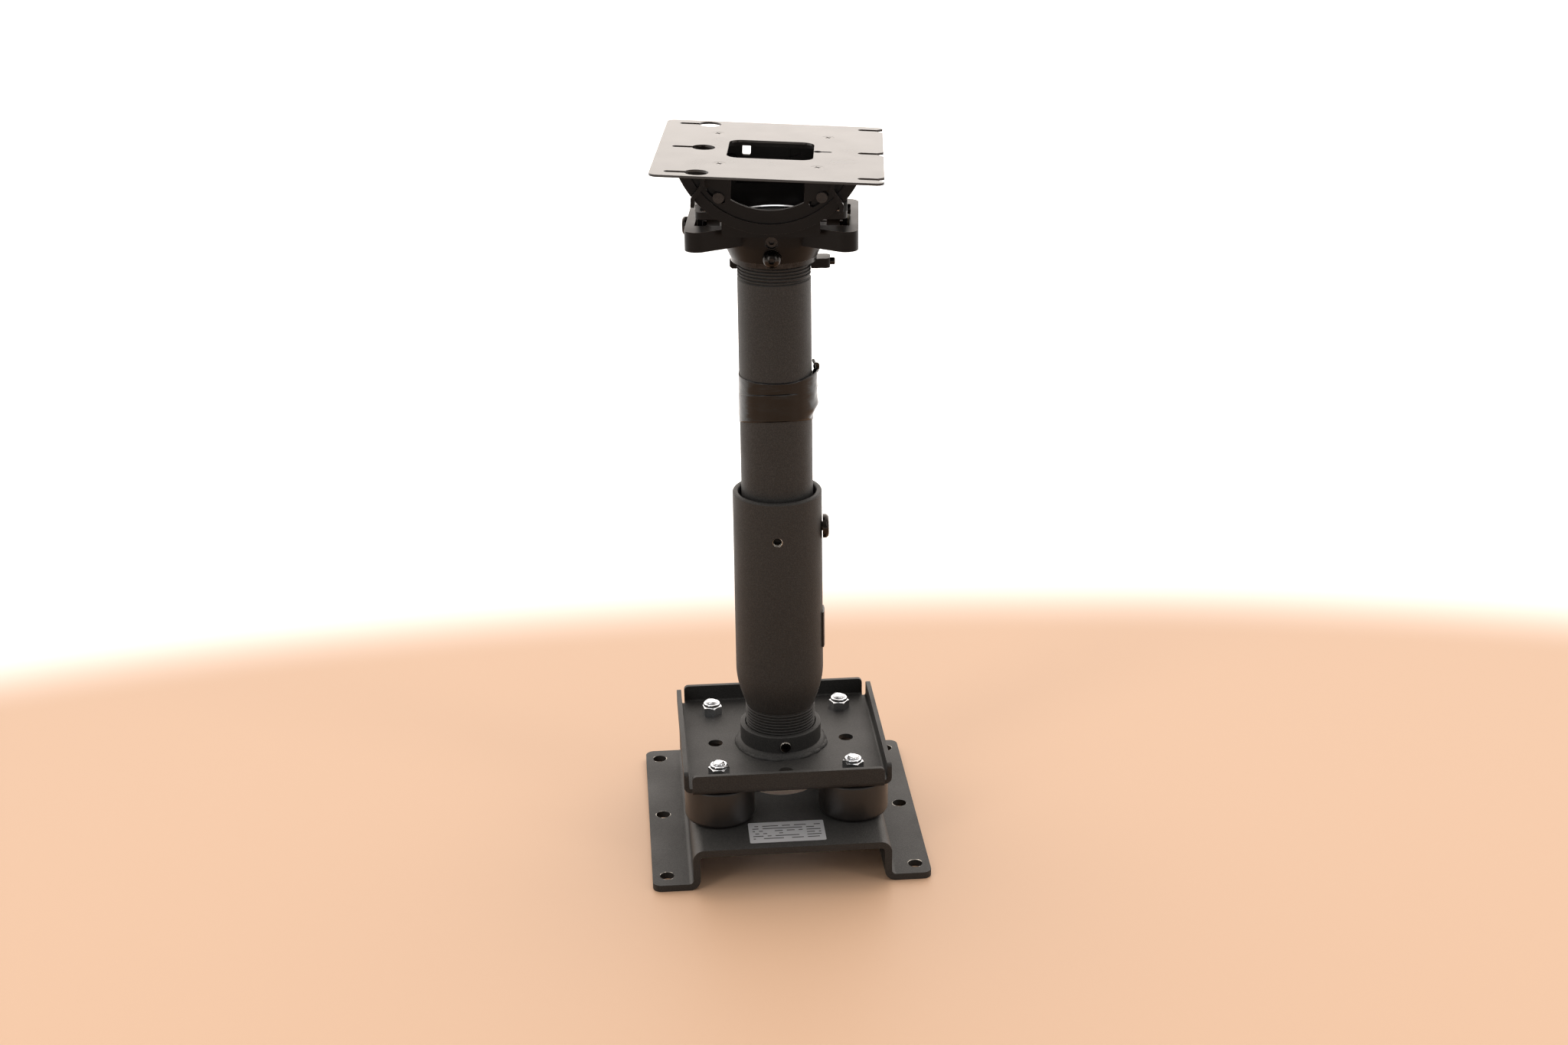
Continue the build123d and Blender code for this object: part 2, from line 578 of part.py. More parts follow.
# ---------------------------------------------------------------- pitch cradle
STRIP_Z = (444.6, 449.2)      # the frame's bars, clear above the casting's arms
LUG_HALF = 14.0
LUG_TOP = 450.5
LUG_LOW = PITCH_Z - 7.0
POST_X = (25.5, 39.5)
POST_TOP = 468.0
MIDDLE_X = 31.0
MIDDLE_LOW = 433.0
SIDE_NUT_Z = 441.0
SIDE_SCREW_R = 2.0
screw_x = ROLL_SLOT_R * sin(radians(ROLL_SCREW_ANGLE))
screw_z = ROLL_Z - ROLL_SLOT_R * cos(radians(ROLL_SCREW_ANGLE))
with BuildPart() as cradle:
    with BuildSketch(HEAD.offset(STRIP_Z[0])):
        RectangleRounded(2 * CRADLE_X, 2 * CRADLE_Y, 5)
        RectangleRounded(2 * (CRADLE_X - SHEET), 2 * (CRADLE_Y - SHEET), 2, mode=Mode.SUBTRACT)
    extrude(amount=STRIP_Z[1] - STRIP_Z[0])
    for end in (-1, 1):
        with BuildSketch(facing_front(HEAD, end * (CRADLE_Y - SHEET / 2))):
            with Locations((0, (MIDDLE_LOW + STRIP_Z[1]) / 2)):
                RectangleRounded(2 * MIDDLE_X, STRIP_Z[1] - MIDDLE_LOW, 3)
            post_height = POST_TOP - STRIP_Z[0]
            for side in (-1, 1):
                with Locations((side * sum(POST_X) / 2, STRIP_Z[0] + post_height / 2)):
                    RectangleRounded(POST_X[1] - POST_X[0], post_height, 2.2)
        extrude(amount=SHEET / 2, both=True)
    for side in (-1, 1):
        with BuildSketch(facing_right(HEAD, side * (CRADLE_X - SHEET / 2))):
            with Locations((0, (LUG_LOW + LUG_TOP) / 2)):
                RectangleRounded(2 * LUG_HALF, LUG_TOP - LUG_LOW, 6)
        extrude(amount=SHEET / 2, both=True)
    with BuildSketch(facing_right(HEAD, -CRADLE_X - 1)):
        with Locations((0, PITCH_Z)):
            Circle(PIVOT_R + 0.05)
        with Locations((0, SIDE_NUT_Z)):
            Circle(SIDE_SCREW_R + 0.02)
    extrude(amount=2 * CRADLE_X + 2, mode=Mode.SUBTRACT)
    with BuildSketch(facing_front(HEAD, -CRADLE_Y - 1)):
        with Locations((screw_x, screw_z), (-screw_x, screw_z)):
            Circle(ROLL_SCREW_R + 0.02)
    extrude(amount=-2 * CRADLE_Y - 2, mode=Mode.SUBTRACT)
finish(cradle, "pitch_cradle")

SIDE_NUT_T = 3.6
SIDE_NUT_R = 3.9
with BuildPart() as side_screws:
    for side in (-1, 1):
        with BuildSketch(facing_right(HEAD, side * (CRADLE_X + 0.02))):
            with Locations((0, SIDE_NUT_Z)):
                Circle(3.4)
        extrude(amount=side * 2.0)
        with BuildSketch(facing_right(HEAD, side * (CRADLE_X + 0.02))):
            with Locations((0, SIDE_NUT_Z)):
                Circle(SIDE_SCREW_R)
        extrude(amount=-side * (SHEET + SIDE_NUT_T + 1.2))
finish(side_screws, "cradle_side_screws")

with BuildPart() as side_nuts:
    for side in (-1, 1):
        with BuildSketch(facing_right(HEAD, side * (CRADLE_X - SHEET - 0.02))):
            with Locations((0, SIDE_NUT_Z)):
                RegularPolygon(SIDE_NUT_R, 6)
                Circle(SIDE_SCREW_R + 0.02, mode=Mode.SUBTRACT)
        extrude(amount=-side * SIDE_NUT_T)
finish(side_nuts, "cradle_side_nuts")

# Roll screws pass through the cradle's posts and the roll bracket's curved slots.
WALL_OUT = WALL_Y + SHEET
ROLL_HEAD_R = 3.3
ROLL_HEAD_T = 1.0
ROLL_NUT_T = 3.2
ROLL_SPOTS = [(screw_x, screw_z), (-screw_x, screw_z)]
with BuildPart() as roll_screws:
    for end in (-1, 1):
        with BuildSketch(facing_front(HEAD, end * (WALL_OUT + 0.9))):
            with Locations(*ROLL_SPOTS):
                Circle(ROLL_HEAD_R)
        extrude(amount=-end * ROLL_HEAD_T)
        with BuildSketch(facing_front(HEAD, end * (WALL_OUT + 0.9))):
            with Locations(*ROLL_SPOTS):
                Circle(ROLL_SCREW_R)
        extrude(amount=end * (WALL_OUT + 0.9 - CRADLE_Y + SHEET + ROLL_NUT_T + 1))
finish(roll_screws, "roll_screws")

with BuildPart() as roll_washers:
    for end in (-1, 1):
        with BuildSketch(facing_front(HEAD, end * (WALL_OUT + 0.05))):
            with Locations(*ROLL_SPOTS):
                Circle(ROLL_HEAD_R + 0.3)
                Circle(ROLL_SCREW_R + 0.02, mode=Mode.SUBTRACT)
        extrude(amount=-end * 0.83)
finish(roll_washers, "roll_washers")

with BuildPart() as roll_nuts:
    for end in (-1, 1):
        with BuildSketch(facing_front(HEAD, end * (CRADLE_Y - SHEET - 0.02))):
            with Locations(*ROLL_SPOTS):
                RegularPolygon(4.0, 6)
                Circle(ROLL_SCREW_R + 0.02, mode=Mode.SUBTRACT)
        extrude(amount=end * ROLL_NUT_T)
finish(roll_nuts, "roll_nuts")

# ---------------------------------------------------------------- roll bracket
PLATE_UNDER = PLATE_TOP - PLATE_T
FLANGE_LOW = PLATE_UNDER - BRACKET_T
FLANGE_X = 50.0
TAB_TOP_X = 39.1
TAB_LOW_X = 45.2
TAB_JOG = (457.5, 466.5)
TAB_LOW = 452.5
TAB_T = 2.4
OPENING_X = 27.4
OPENING_Y = 26.0
OPENING_R = 8.0
KEY_R = 7.45
KEY_X = -43.05
KEY_SLOT_END = -63.0
KEY_SLOT_HALF = 2.3
KEY_RELIEF_R = KEY_R + 1.2     # notch in the bracket's flange under the middle keyhole
REAR_GAP_X = (-19.9, -14.4)    # the rear wall is closed but for this gap beside its middle
REAR_GAP_Z = (466.5, 473.4)
REAR_POCKET = [(11.0, 465.7), (18.8, 467.9), (18.8, 473.4), (11.0, 473.4)]
REAR_POCKET_DEPTH = 1.5


def arc_point(radius, angle):
    """Point at a radius below the roll axis, at an angle in degrees from straight down."""
    return (radius * sin(radians(angle)), ROLL_Z - radius * cos(radians(angle)))


def wall_outline():
    """Half-moon wall: everything inside the roll arc and under the top flange."""
    with Locations((0, ROLL_Z)):
        Circle(ARC_R)
    with Locations((0, FLANGE_LOW + 0.5 + ARC_R)):
        Rectangle(4 * ARC_R, 2 * ARC_R, mode=Mode.SUBTRACT)


with BuildPart() as bracket:
    for end in (-1, 1):
        with BuildSketch(facing_front(ROLLED, end * (WALL_Y + SHEET / 2))):
            wall_outline()
            with BuildSketch(mode=Mode.PRIVATE) as window:
                if end < 0:
                    with Locations((0, ROLL_Z)):
                        Circle(ARC_INNER_R)
                    with Locations((0, ROLL_Z - ARC_INNER_R)):
                        Rectangle(2 * CUT_HALF, 2 * ARC_INNER_R, mode=Mode.INTERSECT)
                else:
                    with Locations((sum(REAR_GAP_X) / 2, sum(REAR_GAP_Z) / 2)):
                        RectangleRounded(REAR_GAP_X[1] - REAR_GAP_X[0], REAR_GAP_Z[1] - REAR_GAP_Z[0], 1.2)
            add(window.sketch, mode=Mode.SUBTRACT)
            for side in (-1, 1):
                first = side * (ROLL_SCREW_ANGLE - ROLL_SLOT_HALF)
                last = side * (ROLL_SCREW_ANGLE + ROLL_SLOT_HALF)
                with BuildLine(mode=Mode.PRIVATE) as slot_line:
                    ThreePointArc(
                        arc_point(ROLL_SLOT_R, first),
                        arc_point(ROLL_SLOT_R, side * ROLL_SCREW_ANGLE),
                        arc_point(ROLL_SLOT_R, last),
                    )
                SlotArc(slot_line.edge(), 2 * ROLL_SCREW_R + 0.6, mode=Mode.SUBTRACT)
        extrude(amount=SHEET / 2, both=True)
        with BuildSketch(facing_front(ROLLED, end * WALL_OUT)):
            wall_outline()
            with Locations((0, ROLL_Z)):
                Circle(BAND_INNER_R, mode=Mode.SUBTRACT)
        extrude(amount=-end * BAND_T)
        with BuildSketch(facing_front(ROLLED, end * (WALL_OUT - 1.0))):
            for side in (-1, 1):
                with BuildLine():
                    Polyline(
                        (side * TAB_TOP_X, FLANGE_LOW + 1), (side * TAB_TOP_X, TAB_JOG[1]),
                        (side * TAB_LOW_X, TAB_JOG[0]), (side * TAB_LOW_X, TAB_LOW),
                        (side * (TAB_LOW_X + TAB_T), TAB_LOW), (side * (TAB_LOW_X + TAB_T), TAB_JOG[0] + 0.7),
                        (side * (TAB_TOP_X + TAB_T), TAB_JOG[1] + 0.7),
                        (side * (TAB_TOP_X + TAB_T), FLANGE_LOW + 1), close=True,
                    )
                make_face()
        extrude(amount=-end * (TAB_Y - WALL_OUT + 1.0))
    with BuildSketch(facing_front(ROLLED, WALL_Y)):
        with BuildLine():
            Polyline(*REAR_POCKET, close=True)
        make_face()
    extrude(amount=-REAR_POCKET_DEPTH, mode=Mode.SUBTRACT)
    with BuildSketch(ROLLED.offset(FLANGE_LOW)):
        RectangleRounded(2 * FLANGE_X, 2 * (TAB_Y - 1), 4)
        RectangleRounded(2 * OPENING_X + 3, 2 * OPENING_Y + 3, OPENING_R, mode=Mode.SUBTRACT)
        with Locations((KEY_X, 0)):
            Circle(KEY_RELIEF_R, mode=Mode.SUBTRACT)
        with Locations((-FLANGE_X, 0)):
            Rectangle(2 * (FLANGE_X + KEY_X), 2 * KEY_RELIEF_R, mode=Mode.SUBTRACT)
    extrude(amount=BRACKET_T)
    TOP_SCREWS = [(36.0, 43.0), (-36.0, 43.0), (30.5, -43.5), (-30.5, -43.5)]
    with BuildSketch(ROLLED.offset(FLANGE_LOW)):
        with Locations(*TOP_SCREWS):
            Circle(2.02)
    extrude(amount=BRACKET_T, mode=Mode.SUBTRACT)
finish(bracket, "roll_bracket")

# ---------------------------------------------------------------- interface plate
OPEN_SLOT_X = 55.5
OPEN_SLOT_HALF = 2.5
FLARE_X = 67.7
FLARE_HALF = 6.6
NOTCH_X = 37.8
SCREW_TOP_R = 4.1
with BuildPart() as plate:
    with BuildSketch(ROLLED.offset(PLATE_UNDER)):
        RectangleRounded(PLATE_X, PLATE_Y, PLATE_CORNER)
        RectangleRounded(2 * OPENING_X, 2 * OPENING_Y, OPENING_R, mode=Mode.SUBTRACT)
        with Locations((OPENING_X + 2.4, 0)):
            Circle(2.6, mode=Mode.SUBTRACT)
        with Locations(((OPENING_X + NOTCH_X) / 2, 0)):
            SlotOverall(NOTCH_X - OPENING_X + 2.4, 2.4, mode=Mode.SUBTRACT)
        for row in (-KEY_Y, 0, KEY_Y):
            with Locations((KEY_X, row)):
                Circle(KEY_R, mode=Mode.SUBTRACT)
            with Locations(((KEY_SLOT_END + KEY_X) / 2, row)):
                SlotOverall(KEY_X - KEY_SLOT_END, 2 * KEY_SLOT_HALF, mode=Mode.SUBTRACT)
            with BuildLine():
                edge = PLATE_X / 2 + 1
                Polyline(
                    (OPEN_SLOT_X + OPEN_SLOT_HALF, row - OPEN_SLOT_HALF), (FLARE_X, row - OPEN_SLOT_HALF),
                    (edge, row - FLARE_HALF), (edge, row + FLARE_HALF), (FLARE_X, row + OPEN_SLOT_HALF),
                    (OPEN_SLOT_X + OPEN_SLOT_HALF, row + OPEN_SLOT_HALF), close=True,
                )
            make_face(mode=Mode.SUBTRACT)
            with Locations((OPEN_SLOT_X + OPEN_SLOT_HALF, row)):
                Circle(OPEN_SLOT_HALF, mode=Mode.SUBTRACT)
    extrude(amount=PLATE_T)
    with BuildSketch(ROLLED.offset(PLATE_TOP)):
        with Locations(*TOP_SCREWS):
            Circle(SCREW_TOP_R)
    extrude(amount=-PLATE_T, taper=45, mode=Mode.SUBTRACT)
finish(plate, "interface_plate")

with BuildPart() as plate_screws:
    with BuildSketch(ROLLED.offset(PLATE_TOP - 0.05)):
        with Locations(*TOP_SCREWS):
            Circle(SCREW_TOP_R - 0.08)
    extrude(amount=-PLATE_T + 0.05, taper=45)
    with BuildSketch(ROLLED.offset(PLATE_UNDER + 0.4)):
        with Locations(*TOP_SCREWS):
            Circle(2.0)
    extrude(amount=-BRACKET_T - 0.3)
    with BuildSketch(ROLLED.offset(PLATE_TOP)):
        with Locations(*TOP_SCREWS):
            Rectangle(4.2, 0.9, rotation=30)
            Rectangle(0.9, 4.2, rotation=30)
    extrude(amount=-0.9, mode=Mode.SUBTRACT)
finish(plate_screws, "plate_screws")

# ---------------------------------------------------------------- summary of the moving axes
print("pitch axis through z", PITCH_Z, "along", HEAD.x_dir)
print("roll axis through z", ROLL_Z, "along", HEAD.y_dir)
print("plate's solid end", ROLLED.from_local_coords((0, PLATE_Y / 2 - 8, PLATE_TOP)), ROLLED.z_dir)
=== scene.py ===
# %% [markdown]
# # A pipe-column projector mount, standing upside down on its base
#
# From the bench up the object has a bent steel base, four rubber isolators, a tray, a two-stage
# pipe column wrapped once with vinyl tape, and a head that yaws, tips and leans under a flat plate.
# The design is finished and its sizes are fixed, so this script only gives the object its looks.
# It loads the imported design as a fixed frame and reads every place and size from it.

# %% The fixed frame
import json
import math

import bmesh
import bpy
from mathutils import Matrix, Vector, noise


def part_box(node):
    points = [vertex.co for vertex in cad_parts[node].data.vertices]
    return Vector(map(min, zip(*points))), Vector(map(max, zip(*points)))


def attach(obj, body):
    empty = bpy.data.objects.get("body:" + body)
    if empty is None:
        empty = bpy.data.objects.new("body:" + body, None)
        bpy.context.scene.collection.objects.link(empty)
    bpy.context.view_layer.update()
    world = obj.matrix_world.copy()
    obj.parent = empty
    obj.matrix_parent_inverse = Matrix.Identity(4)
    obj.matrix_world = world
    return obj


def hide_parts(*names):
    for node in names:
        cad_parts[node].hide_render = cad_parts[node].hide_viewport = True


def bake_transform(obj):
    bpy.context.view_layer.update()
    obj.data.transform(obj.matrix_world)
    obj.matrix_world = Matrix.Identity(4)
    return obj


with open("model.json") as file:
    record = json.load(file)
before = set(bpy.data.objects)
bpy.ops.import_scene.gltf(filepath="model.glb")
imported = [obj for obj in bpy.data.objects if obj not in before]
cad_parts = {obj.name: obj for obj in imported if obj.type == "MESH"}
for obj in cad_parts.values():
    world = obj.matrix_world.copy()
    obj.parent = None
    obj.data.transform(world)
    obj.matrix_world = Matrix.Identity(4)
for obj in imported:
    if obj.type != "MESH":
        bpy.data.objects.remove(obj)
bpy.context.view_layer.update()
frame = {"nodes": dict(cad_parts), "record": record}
scene = bpy.context.scene
record = frame["record"]
mounts = {mount["name"]: mount for mount in record["mounts"]}
body_of = {node: body for body, nodes in record["behaviour"]["bodies"].items() for node in nodes}
slot_of = {part["node"]: part["material_slot"] for part in record["subparts"]}
MM = 0.001

# %% [markdown]
# ## Small helpers
#
# Nearly every step below adds nodes to a tree, either to a finish or to a Geometry Nodes tree.
# One function does that: it adds a node, sets it up, and fills its sockets from plain values or
# from other nodes' sockets. A colour is written as the sRGB hex that a person can read, and one
# function turns it into the linear values that a shader needs.

# %% Colours and nodes
def linear(code):
    """An sRGB hex colour as linear red, green, blue and alpha."""
    shares = [int(code[i:i + 2], 16) / 255 for i in (1, 3, 5)]
    return [s / 12.92 if s <= 0.04045 else ((s + 0.055) / 1.055) ** 2.4 for s in shares] + [1.0]


def add(tree, kind, values=None, **settings):
    """Add a node with its settings, and fill its sockets from values or other sockets."""
    node = tree.nodes.new(kind)
    for name, value in settings.items():
        setattr(node, name, value)
    fill(tree, node, values or {})
    return node


def fill(tree, node, values):
    """Give a node's sockets plain values, or link them to other nodes' sockets."""
    for key, value in values.items():
        if isinstance(value, bpy.types.NodeSocket):
            tree.links.new(value, node.inputs[key])
        else:
            node.inputs[key].default_value = value


def new_finish(name):
    """A new finish: the material, its tree, its shader and the piece's own coordinates in metres."""
    finish = bpy.data.materials.new(name)
    finish.use_nodes = True
    tree = finish.node_tree
    place = add(tree, "ShaderNodeTexCoord").outputs["Object"]
    return finish, tree, tree.nodes["Principled BSDF"], place


print("half-bright grey is", round(linear("#808080")[0], 3), "in linear light")

# %% [markdown]
# ## Textured black powder coat
#
# The base, the tray and both pipes are steel with a textured polyester powder coat. The powder
# melts into fine crumbs about half a millimetre across, so the paint is black but has no clear
# reflection: it scatters the room's light and reads as a warm dark grey. Its IOR is that of most
# paints, 1.5, and its roughness is high. Crumbs of half a millimetre are too fine to show in the
# render, so they are drawn half again as coarse. Where a bolt head or a bench has knocked the coat
# off, bright steel shows, so the finish takes a list of worn spots.

# %% Textured powder coat, with chips down to bare steel
CRUMB = 0.75 * MM       # one crumb of the coat, as drawn
CLOUD = 38 * MM         # slow change of tone over the part
CHIP = 6 * MM           # the larger flakes that have come off


def worn_ring(tree, place, spot, inner, width, raggedness):
    """A mask of a ragged ring of lost paint round each mirrored copy of a spot on the ground plan."""
    folded = add(tree, "ShaderNodeVectorMath", {0: place}, operation="ABSOLUTE").outputs[0]
    flat = add(tree, "ShaderNodeVectorMath", {0: folded, 1: (1, 1, 0)}, operation="MULTIPLY").outputs[0]
    away = add(tree, "ShaderNodeVectorMath", {0: flat, 1: (*spot, 0)},
               operation="DISTANCE").outputs["Value"]
    ring = add(tree, "ShaderNodeMapRange", {"Value": away, "From Min": inner, "From Max": inner + width,
                                            "To Min": 1.0, "To Max": 0.0}).outputs["Result"]
    outside = add(tree, "ShaderNodeMath", {0: away, 1: inner + 0.25 * MM},
                  operation="GREATER_THAN").outputs[0]
    torn = add(tree, "ShaderNodeTexNoise",
               {"Vector": place, "Scale": 1 / CHIP, "Detail": 4.0, "Roughness": 0.7})
    ragged = add(tree, "ShaderNodeMath", {0: torn.outputs["Fac"], 1: raggedness, 2: ring},
                 operation="MULTIPLY_ADD").outputs[0]
    chipped = add(tree, "ShaderNodeMapRange", {"Value": ragged, "From Min": 1.58, "From Max": 1.72,
                                               "To Min": 0.0, "To Max": 0.8}).outputs["Result"]
    return add(tree, "ShaderNodeMath", {0: chipped, 1: outside}, operation="MULTIPLY").outputs[0]


def textured_powder_coat(name, deep, raised, worn_spots=()):
    """Black polyester powder coat with fine crumbs, worn to bare steel round some spots."""
    finish, tree, shader, place = new_finish(name)
    crumbs = add(tree, "ShaderNodeTexNoise",
                 {"Vector": place, "Scale": 1 / CRUMB, "Detail": 3.0, "Roughness": 0.65}).outputs["Fac"]
    clouds = add(tree, "ShaderNodeTexNoise",
                 {"Vector": place, "Scale": 1 / CLOUD, "Detail": 3.0}).outputs["Fac"]
    tips = add(tree, "ShaderNodeMapRange",
               {"Value": crumbs, "From Min": 0.42, "From Max": 0.68, "To Min": 0.0, "To Max": 0.6}).outputs[0]
    mottle = add(tree, "ShaderNodeMath", {0: clouds, 1: 0.35, 2: tips}, operation="MULTIPLY_ADD",
                 use_clamp=True).outputs[0]
    colour = add(tree, "ShaderNodeMix", {0: mottle, 6: linear(deep), 7: linear(raised)},
                 data_type="RGBA").outputs[2]
    dull = add(tree, "ShaderNodeMapRange",
               {"Value": clouds, "From Min": 0.3, "From Max": 0.7, "To Min": 0.5, "To Max": 0.62}).outputs[0]
    bump = add(tree, "ShaderNodeBump", {"Strength": 0.55, "Distance": 0.22 * MM, "Height": crumbs})
    fill(tree, shader, {"IOR": 1.5, "Specular IOR Level": 0.26, "Normal": bump.outputs[0]})
    if worn_spots:
        masks = [worn_ring(tree, place, *spot) for spot in worn_spots]
        bare = masks[0]
        for mask in masks[1:]:
            bare = add(tree, "ShaderNodeMath", {0: bare, 1: mask}, operation="MAXIMUM").outputs[0]
        colour = add(tree, "ShaderNodeMix", {0: bare, 6: colour, 7: linear("#c9c4bb")},
                     data_type="RGBA").outputs[2]
        dull = add(tree, "ShaderNodeMix", {0: bare, 2: dull, 3: 0.34}).outputs[0]
        fill(tree, shader, {"Metallic": bare})
    fill(tree, shader, {"Base Color": colour, "Roughness": dull})
    return finish


foot_holes = [mounts[name]["dims"] for name in ("base_corner_holes", "base_middle_holes")]
hole_radius = foot_holes[0]["hole_r_mm"] * MM
WORN_WIDTH, WORN_RAGGED = 1.9 * MM, 1.6
worn_feet = [((dims["spacing_x_mm"] * MM / 2, dims.get("spacing_y_mm", 0) * MM / 2),
              hole_radius, WORN_WIDTH, WORN_RAGGED) for dims in foot_holes]
COAT_DEEP, COAT_RAISED = "#212121", "#3c3b39"
base_coat = textured_powder_coat("textured_powder_coat_worn_base", COAT_DEEP, COAT_RAISED, worn_feet)
pipe_coat = textured_powder_coat("textured_powder_coat_black", COAT_DEEP, COAT_RAISED)
print("worn spots on the feet:", len(worn_feet))

# %% [markdown]
# ## Smooth satin black powder coat
#
# The head's casting, brackets and plate have a smooth satin powder coat. It is black in itself,
# and nearly all that the eye sees in it is the room: broad faces stay dark, while a rounded edge
# or a plate seen at a low angle mirrors the pale surroundings. So the colour is very dark, the
# roughness low, and the paint's slight orange peel, about 3 mm from crest to crest, is a bump.

# %% Smooth satin powder coat
ORANGE_PEEL = 3.2 * MM
HANDLING_HAZE = 22 * MM


def satin_powder_coat(name, tone, roughness, peel, spread=0.04, mirror=0.5):
    """Black powder coat that flowed out smooth, with a trace of orange peel and handling haze."""
    finish, tree, shader, place = new_finish(name)
    waves = add(tree, "ShaderNodeTexNoise",
                {"Vector": place, "Scale": 1 / ORANGE_PEEL, "Detail": 1.0}).outputs["Fac"]
    haze = add(tree, "ShaderNodeTexNoise",
               {"Vector": place, "Scale": 1 / HANDLING_HAZE, "Detail": 5.0}).outputs["Fac"]
    colour = add(tree, "ShaderNodeMix", {0: haze, 6: linear(tone), 7: linear("#181615")},
                 data_type="RGBA").outputs[2]
    sheen = add(tree, "ShaderNodeMapRange", {"Value": haze, "From Min": 0.3, "From Max": 0.7,
                                             "To Min": roughness - spread,
                                             "To Max": roughness + spread}).outputs[0]
    bump = add(tree, "ShaderNodeBump", {"Strength": 0.25, "Distance": peel, "Height": waves})
    fill(tree, shader, {"Base Color": colour, "Roughness": sheen, "IOR": 1.5,
                        "Specular IOR Level": mirror, "Normal": bump.outputs[0]})
    return finish


head_coat = satin_powder_coat("satin_powder_coat_head", "#0b0a0a", 0.36, 0.05 * MM, mirror=0.12)
# The pale, glossy coat for the bevel faces is a painted highlight: it paints in the line of light that a
# rounded edge catches.
edge_highlight_coat = satin_powder_coat("satin_powder_coat_rubbed_edge", "#a39d97", 0.28, 0.01 * MM)
plate_coat = satin_powder_coat("satin_powder_coat_plate", "#171413", 0.26, 0.006 * MM, 0.015)
print("satin finishes:", [coat.name for coat in (head_coat, edge_highlight_coat, plate_coat)])

# %% [markdown]
# ## Bright zinc, blackened steel and bare steel
#
# Each small part has its own stock finish. Zinc plate is a bright metal with a faint blue cast and
# fine wiping marks. Black oxide is a thin conversion layer on steel, dark but still metallic, and
# oiled so that it gives sharp highlights. Turned steel is left bare where a thread was cut. All
# three are metals with a fine cloudy film, so one function makes them.

# %% Metals
def plated_metal(name, dark, light, roughness, streak):
    """A plated or blackened metal with fine cloudy streaks of a given size."""
    finish, tree, shader, place = new_finish(name)
    film = add(tree, "ShaderNodeTexNoise",
               {"Vector": place, "Scale": 1 / streak, "Detail": 4.0}).outputs["Fac"]
    colour = add(tree, "ShaderNodeMix", {0: film, 6: linear(dark), 7: linear(light)},
                 data_type="RGBA").outputs[2]
    polish = add(tree, "ShaderNodeMapRange", {"Value": film, "From Min": 0.3, "From Max": 0.7,
                                              "To Min": roughness * 0.8,
                                              "To Max": roughness * 1.25}).outputs[0]
    bump = add(tree, "ShaderNodeBump", {"Strength": 0.2, "Distance": 0.02 * MM, "Height": film})
    fill(tree, shader, {"Base Color": colour, "Roughness": polish, "Metallic": 1.0,
                        "Normal": bump.outputs[0]})
    return finish


bright_zinc = plated_metal("bright_zinc_plate", "#b6bac0", "#e6e8ea", 0.2, 1.5 * MM)
black_oxide = plated_metal("oiled_black_oxide", "#1f1d1c", "#3a3735", 0.24, 2.0 * MM)
bare_steel = plated_metal("bare_turned_steel", "#a8a49c", "#d8d4cc", 0.24, 0.8 * MM)
print("metals:", [metal.name for metal in (bright_zinc, black_oxide, bare_steel)])

# %% [markdown]
# ## Rubber, ABS and nylon
#
# The isolators are natural rubber moulded between steel plates, a warm black with a low sheen and
# a faint bloom where wax comes to the surface. The thin cover strip is black ABS, and the bush and
# the washers are uncoloured nylon, a waxy off-white. All are moulded, so they share a mould's fine
# grain and a slow change of tone.

# %% Rubber, ABS and nylon
BLOOM = 14 * MM


def moulded_polymer(name, dark, light, roughness, grain):
    """A moulded rubber or plastic with a soft sheen and a faint mould texture."""
    finish, tree, shader, place = new_finish(name)
    skin = add(tree, "ShaderNodeTexNoise",
               {"Vector": place, "Scale": 1 / grain, "Detail": 3.0}).outputs["Fac"]
    bloom = add(tree, "ShaderNodeTexNoise",
                {"Vector": place, "Scale": 1 / BLOOM, "Detail": 4.0}).outputs["Fac"]
    colour = add(tree, "ShaderNodeMix", {0: bloom, 6: linear(dark), 7: linear(light)},
                 data_type="RGBA").outputs[2]
    sheen = add(tree, "ShaderNodeMapRange", {"Value": bloom, "From Min": 0.3, "From Max": 0.7,
                                             "To Min": roughness - 0.06,
                                             "To Max": roughness + 0.06}).outputs[0]
    bump = add(tree, "ShaderNodeBump", {"Strength": 0.2, "Distance": 0.05 * MM, "Height": skin})
    fill(tree, shader, {"Base Color": colour, "Roughness": sheen, "IOR": 1.5,
                        "Normal": bump.outputs[0]})
    return finish


isolator_rubber = moulded_polymer("moulded_natural_rubber", "#151413", "#242221", 0.42, 1.2 * MM)
black_plastic = moulded_polymer("black_moulded_abs", "#121212", "#1e1d1c", 0.4, 0.9 * MM)
nylon = moulded_polymer("natural_nylon", "#b9b5a6", "#d3cfc2", 0.45, 0.9 * MM)
print("polymers:", [polymer.name for polymer in (isolator_rubber, black_plastic, nylon)])

# %% [markdown]
# ## Vinyl tape
#
# Insulating tape is soft PVC, rolled to a gloss, with an IOR near 1.53. Pulled tight it shows fine
# stretch lines along its length, and dust under it raises pimples. The lines run round the pipe,
# so the noise for them is squeezed along the pipe's axis, and both patterns only bend the light.

# %% Vinyl tape
STRETCH_LINE, PIMPLE = 16 * MM, 2.4 * MM


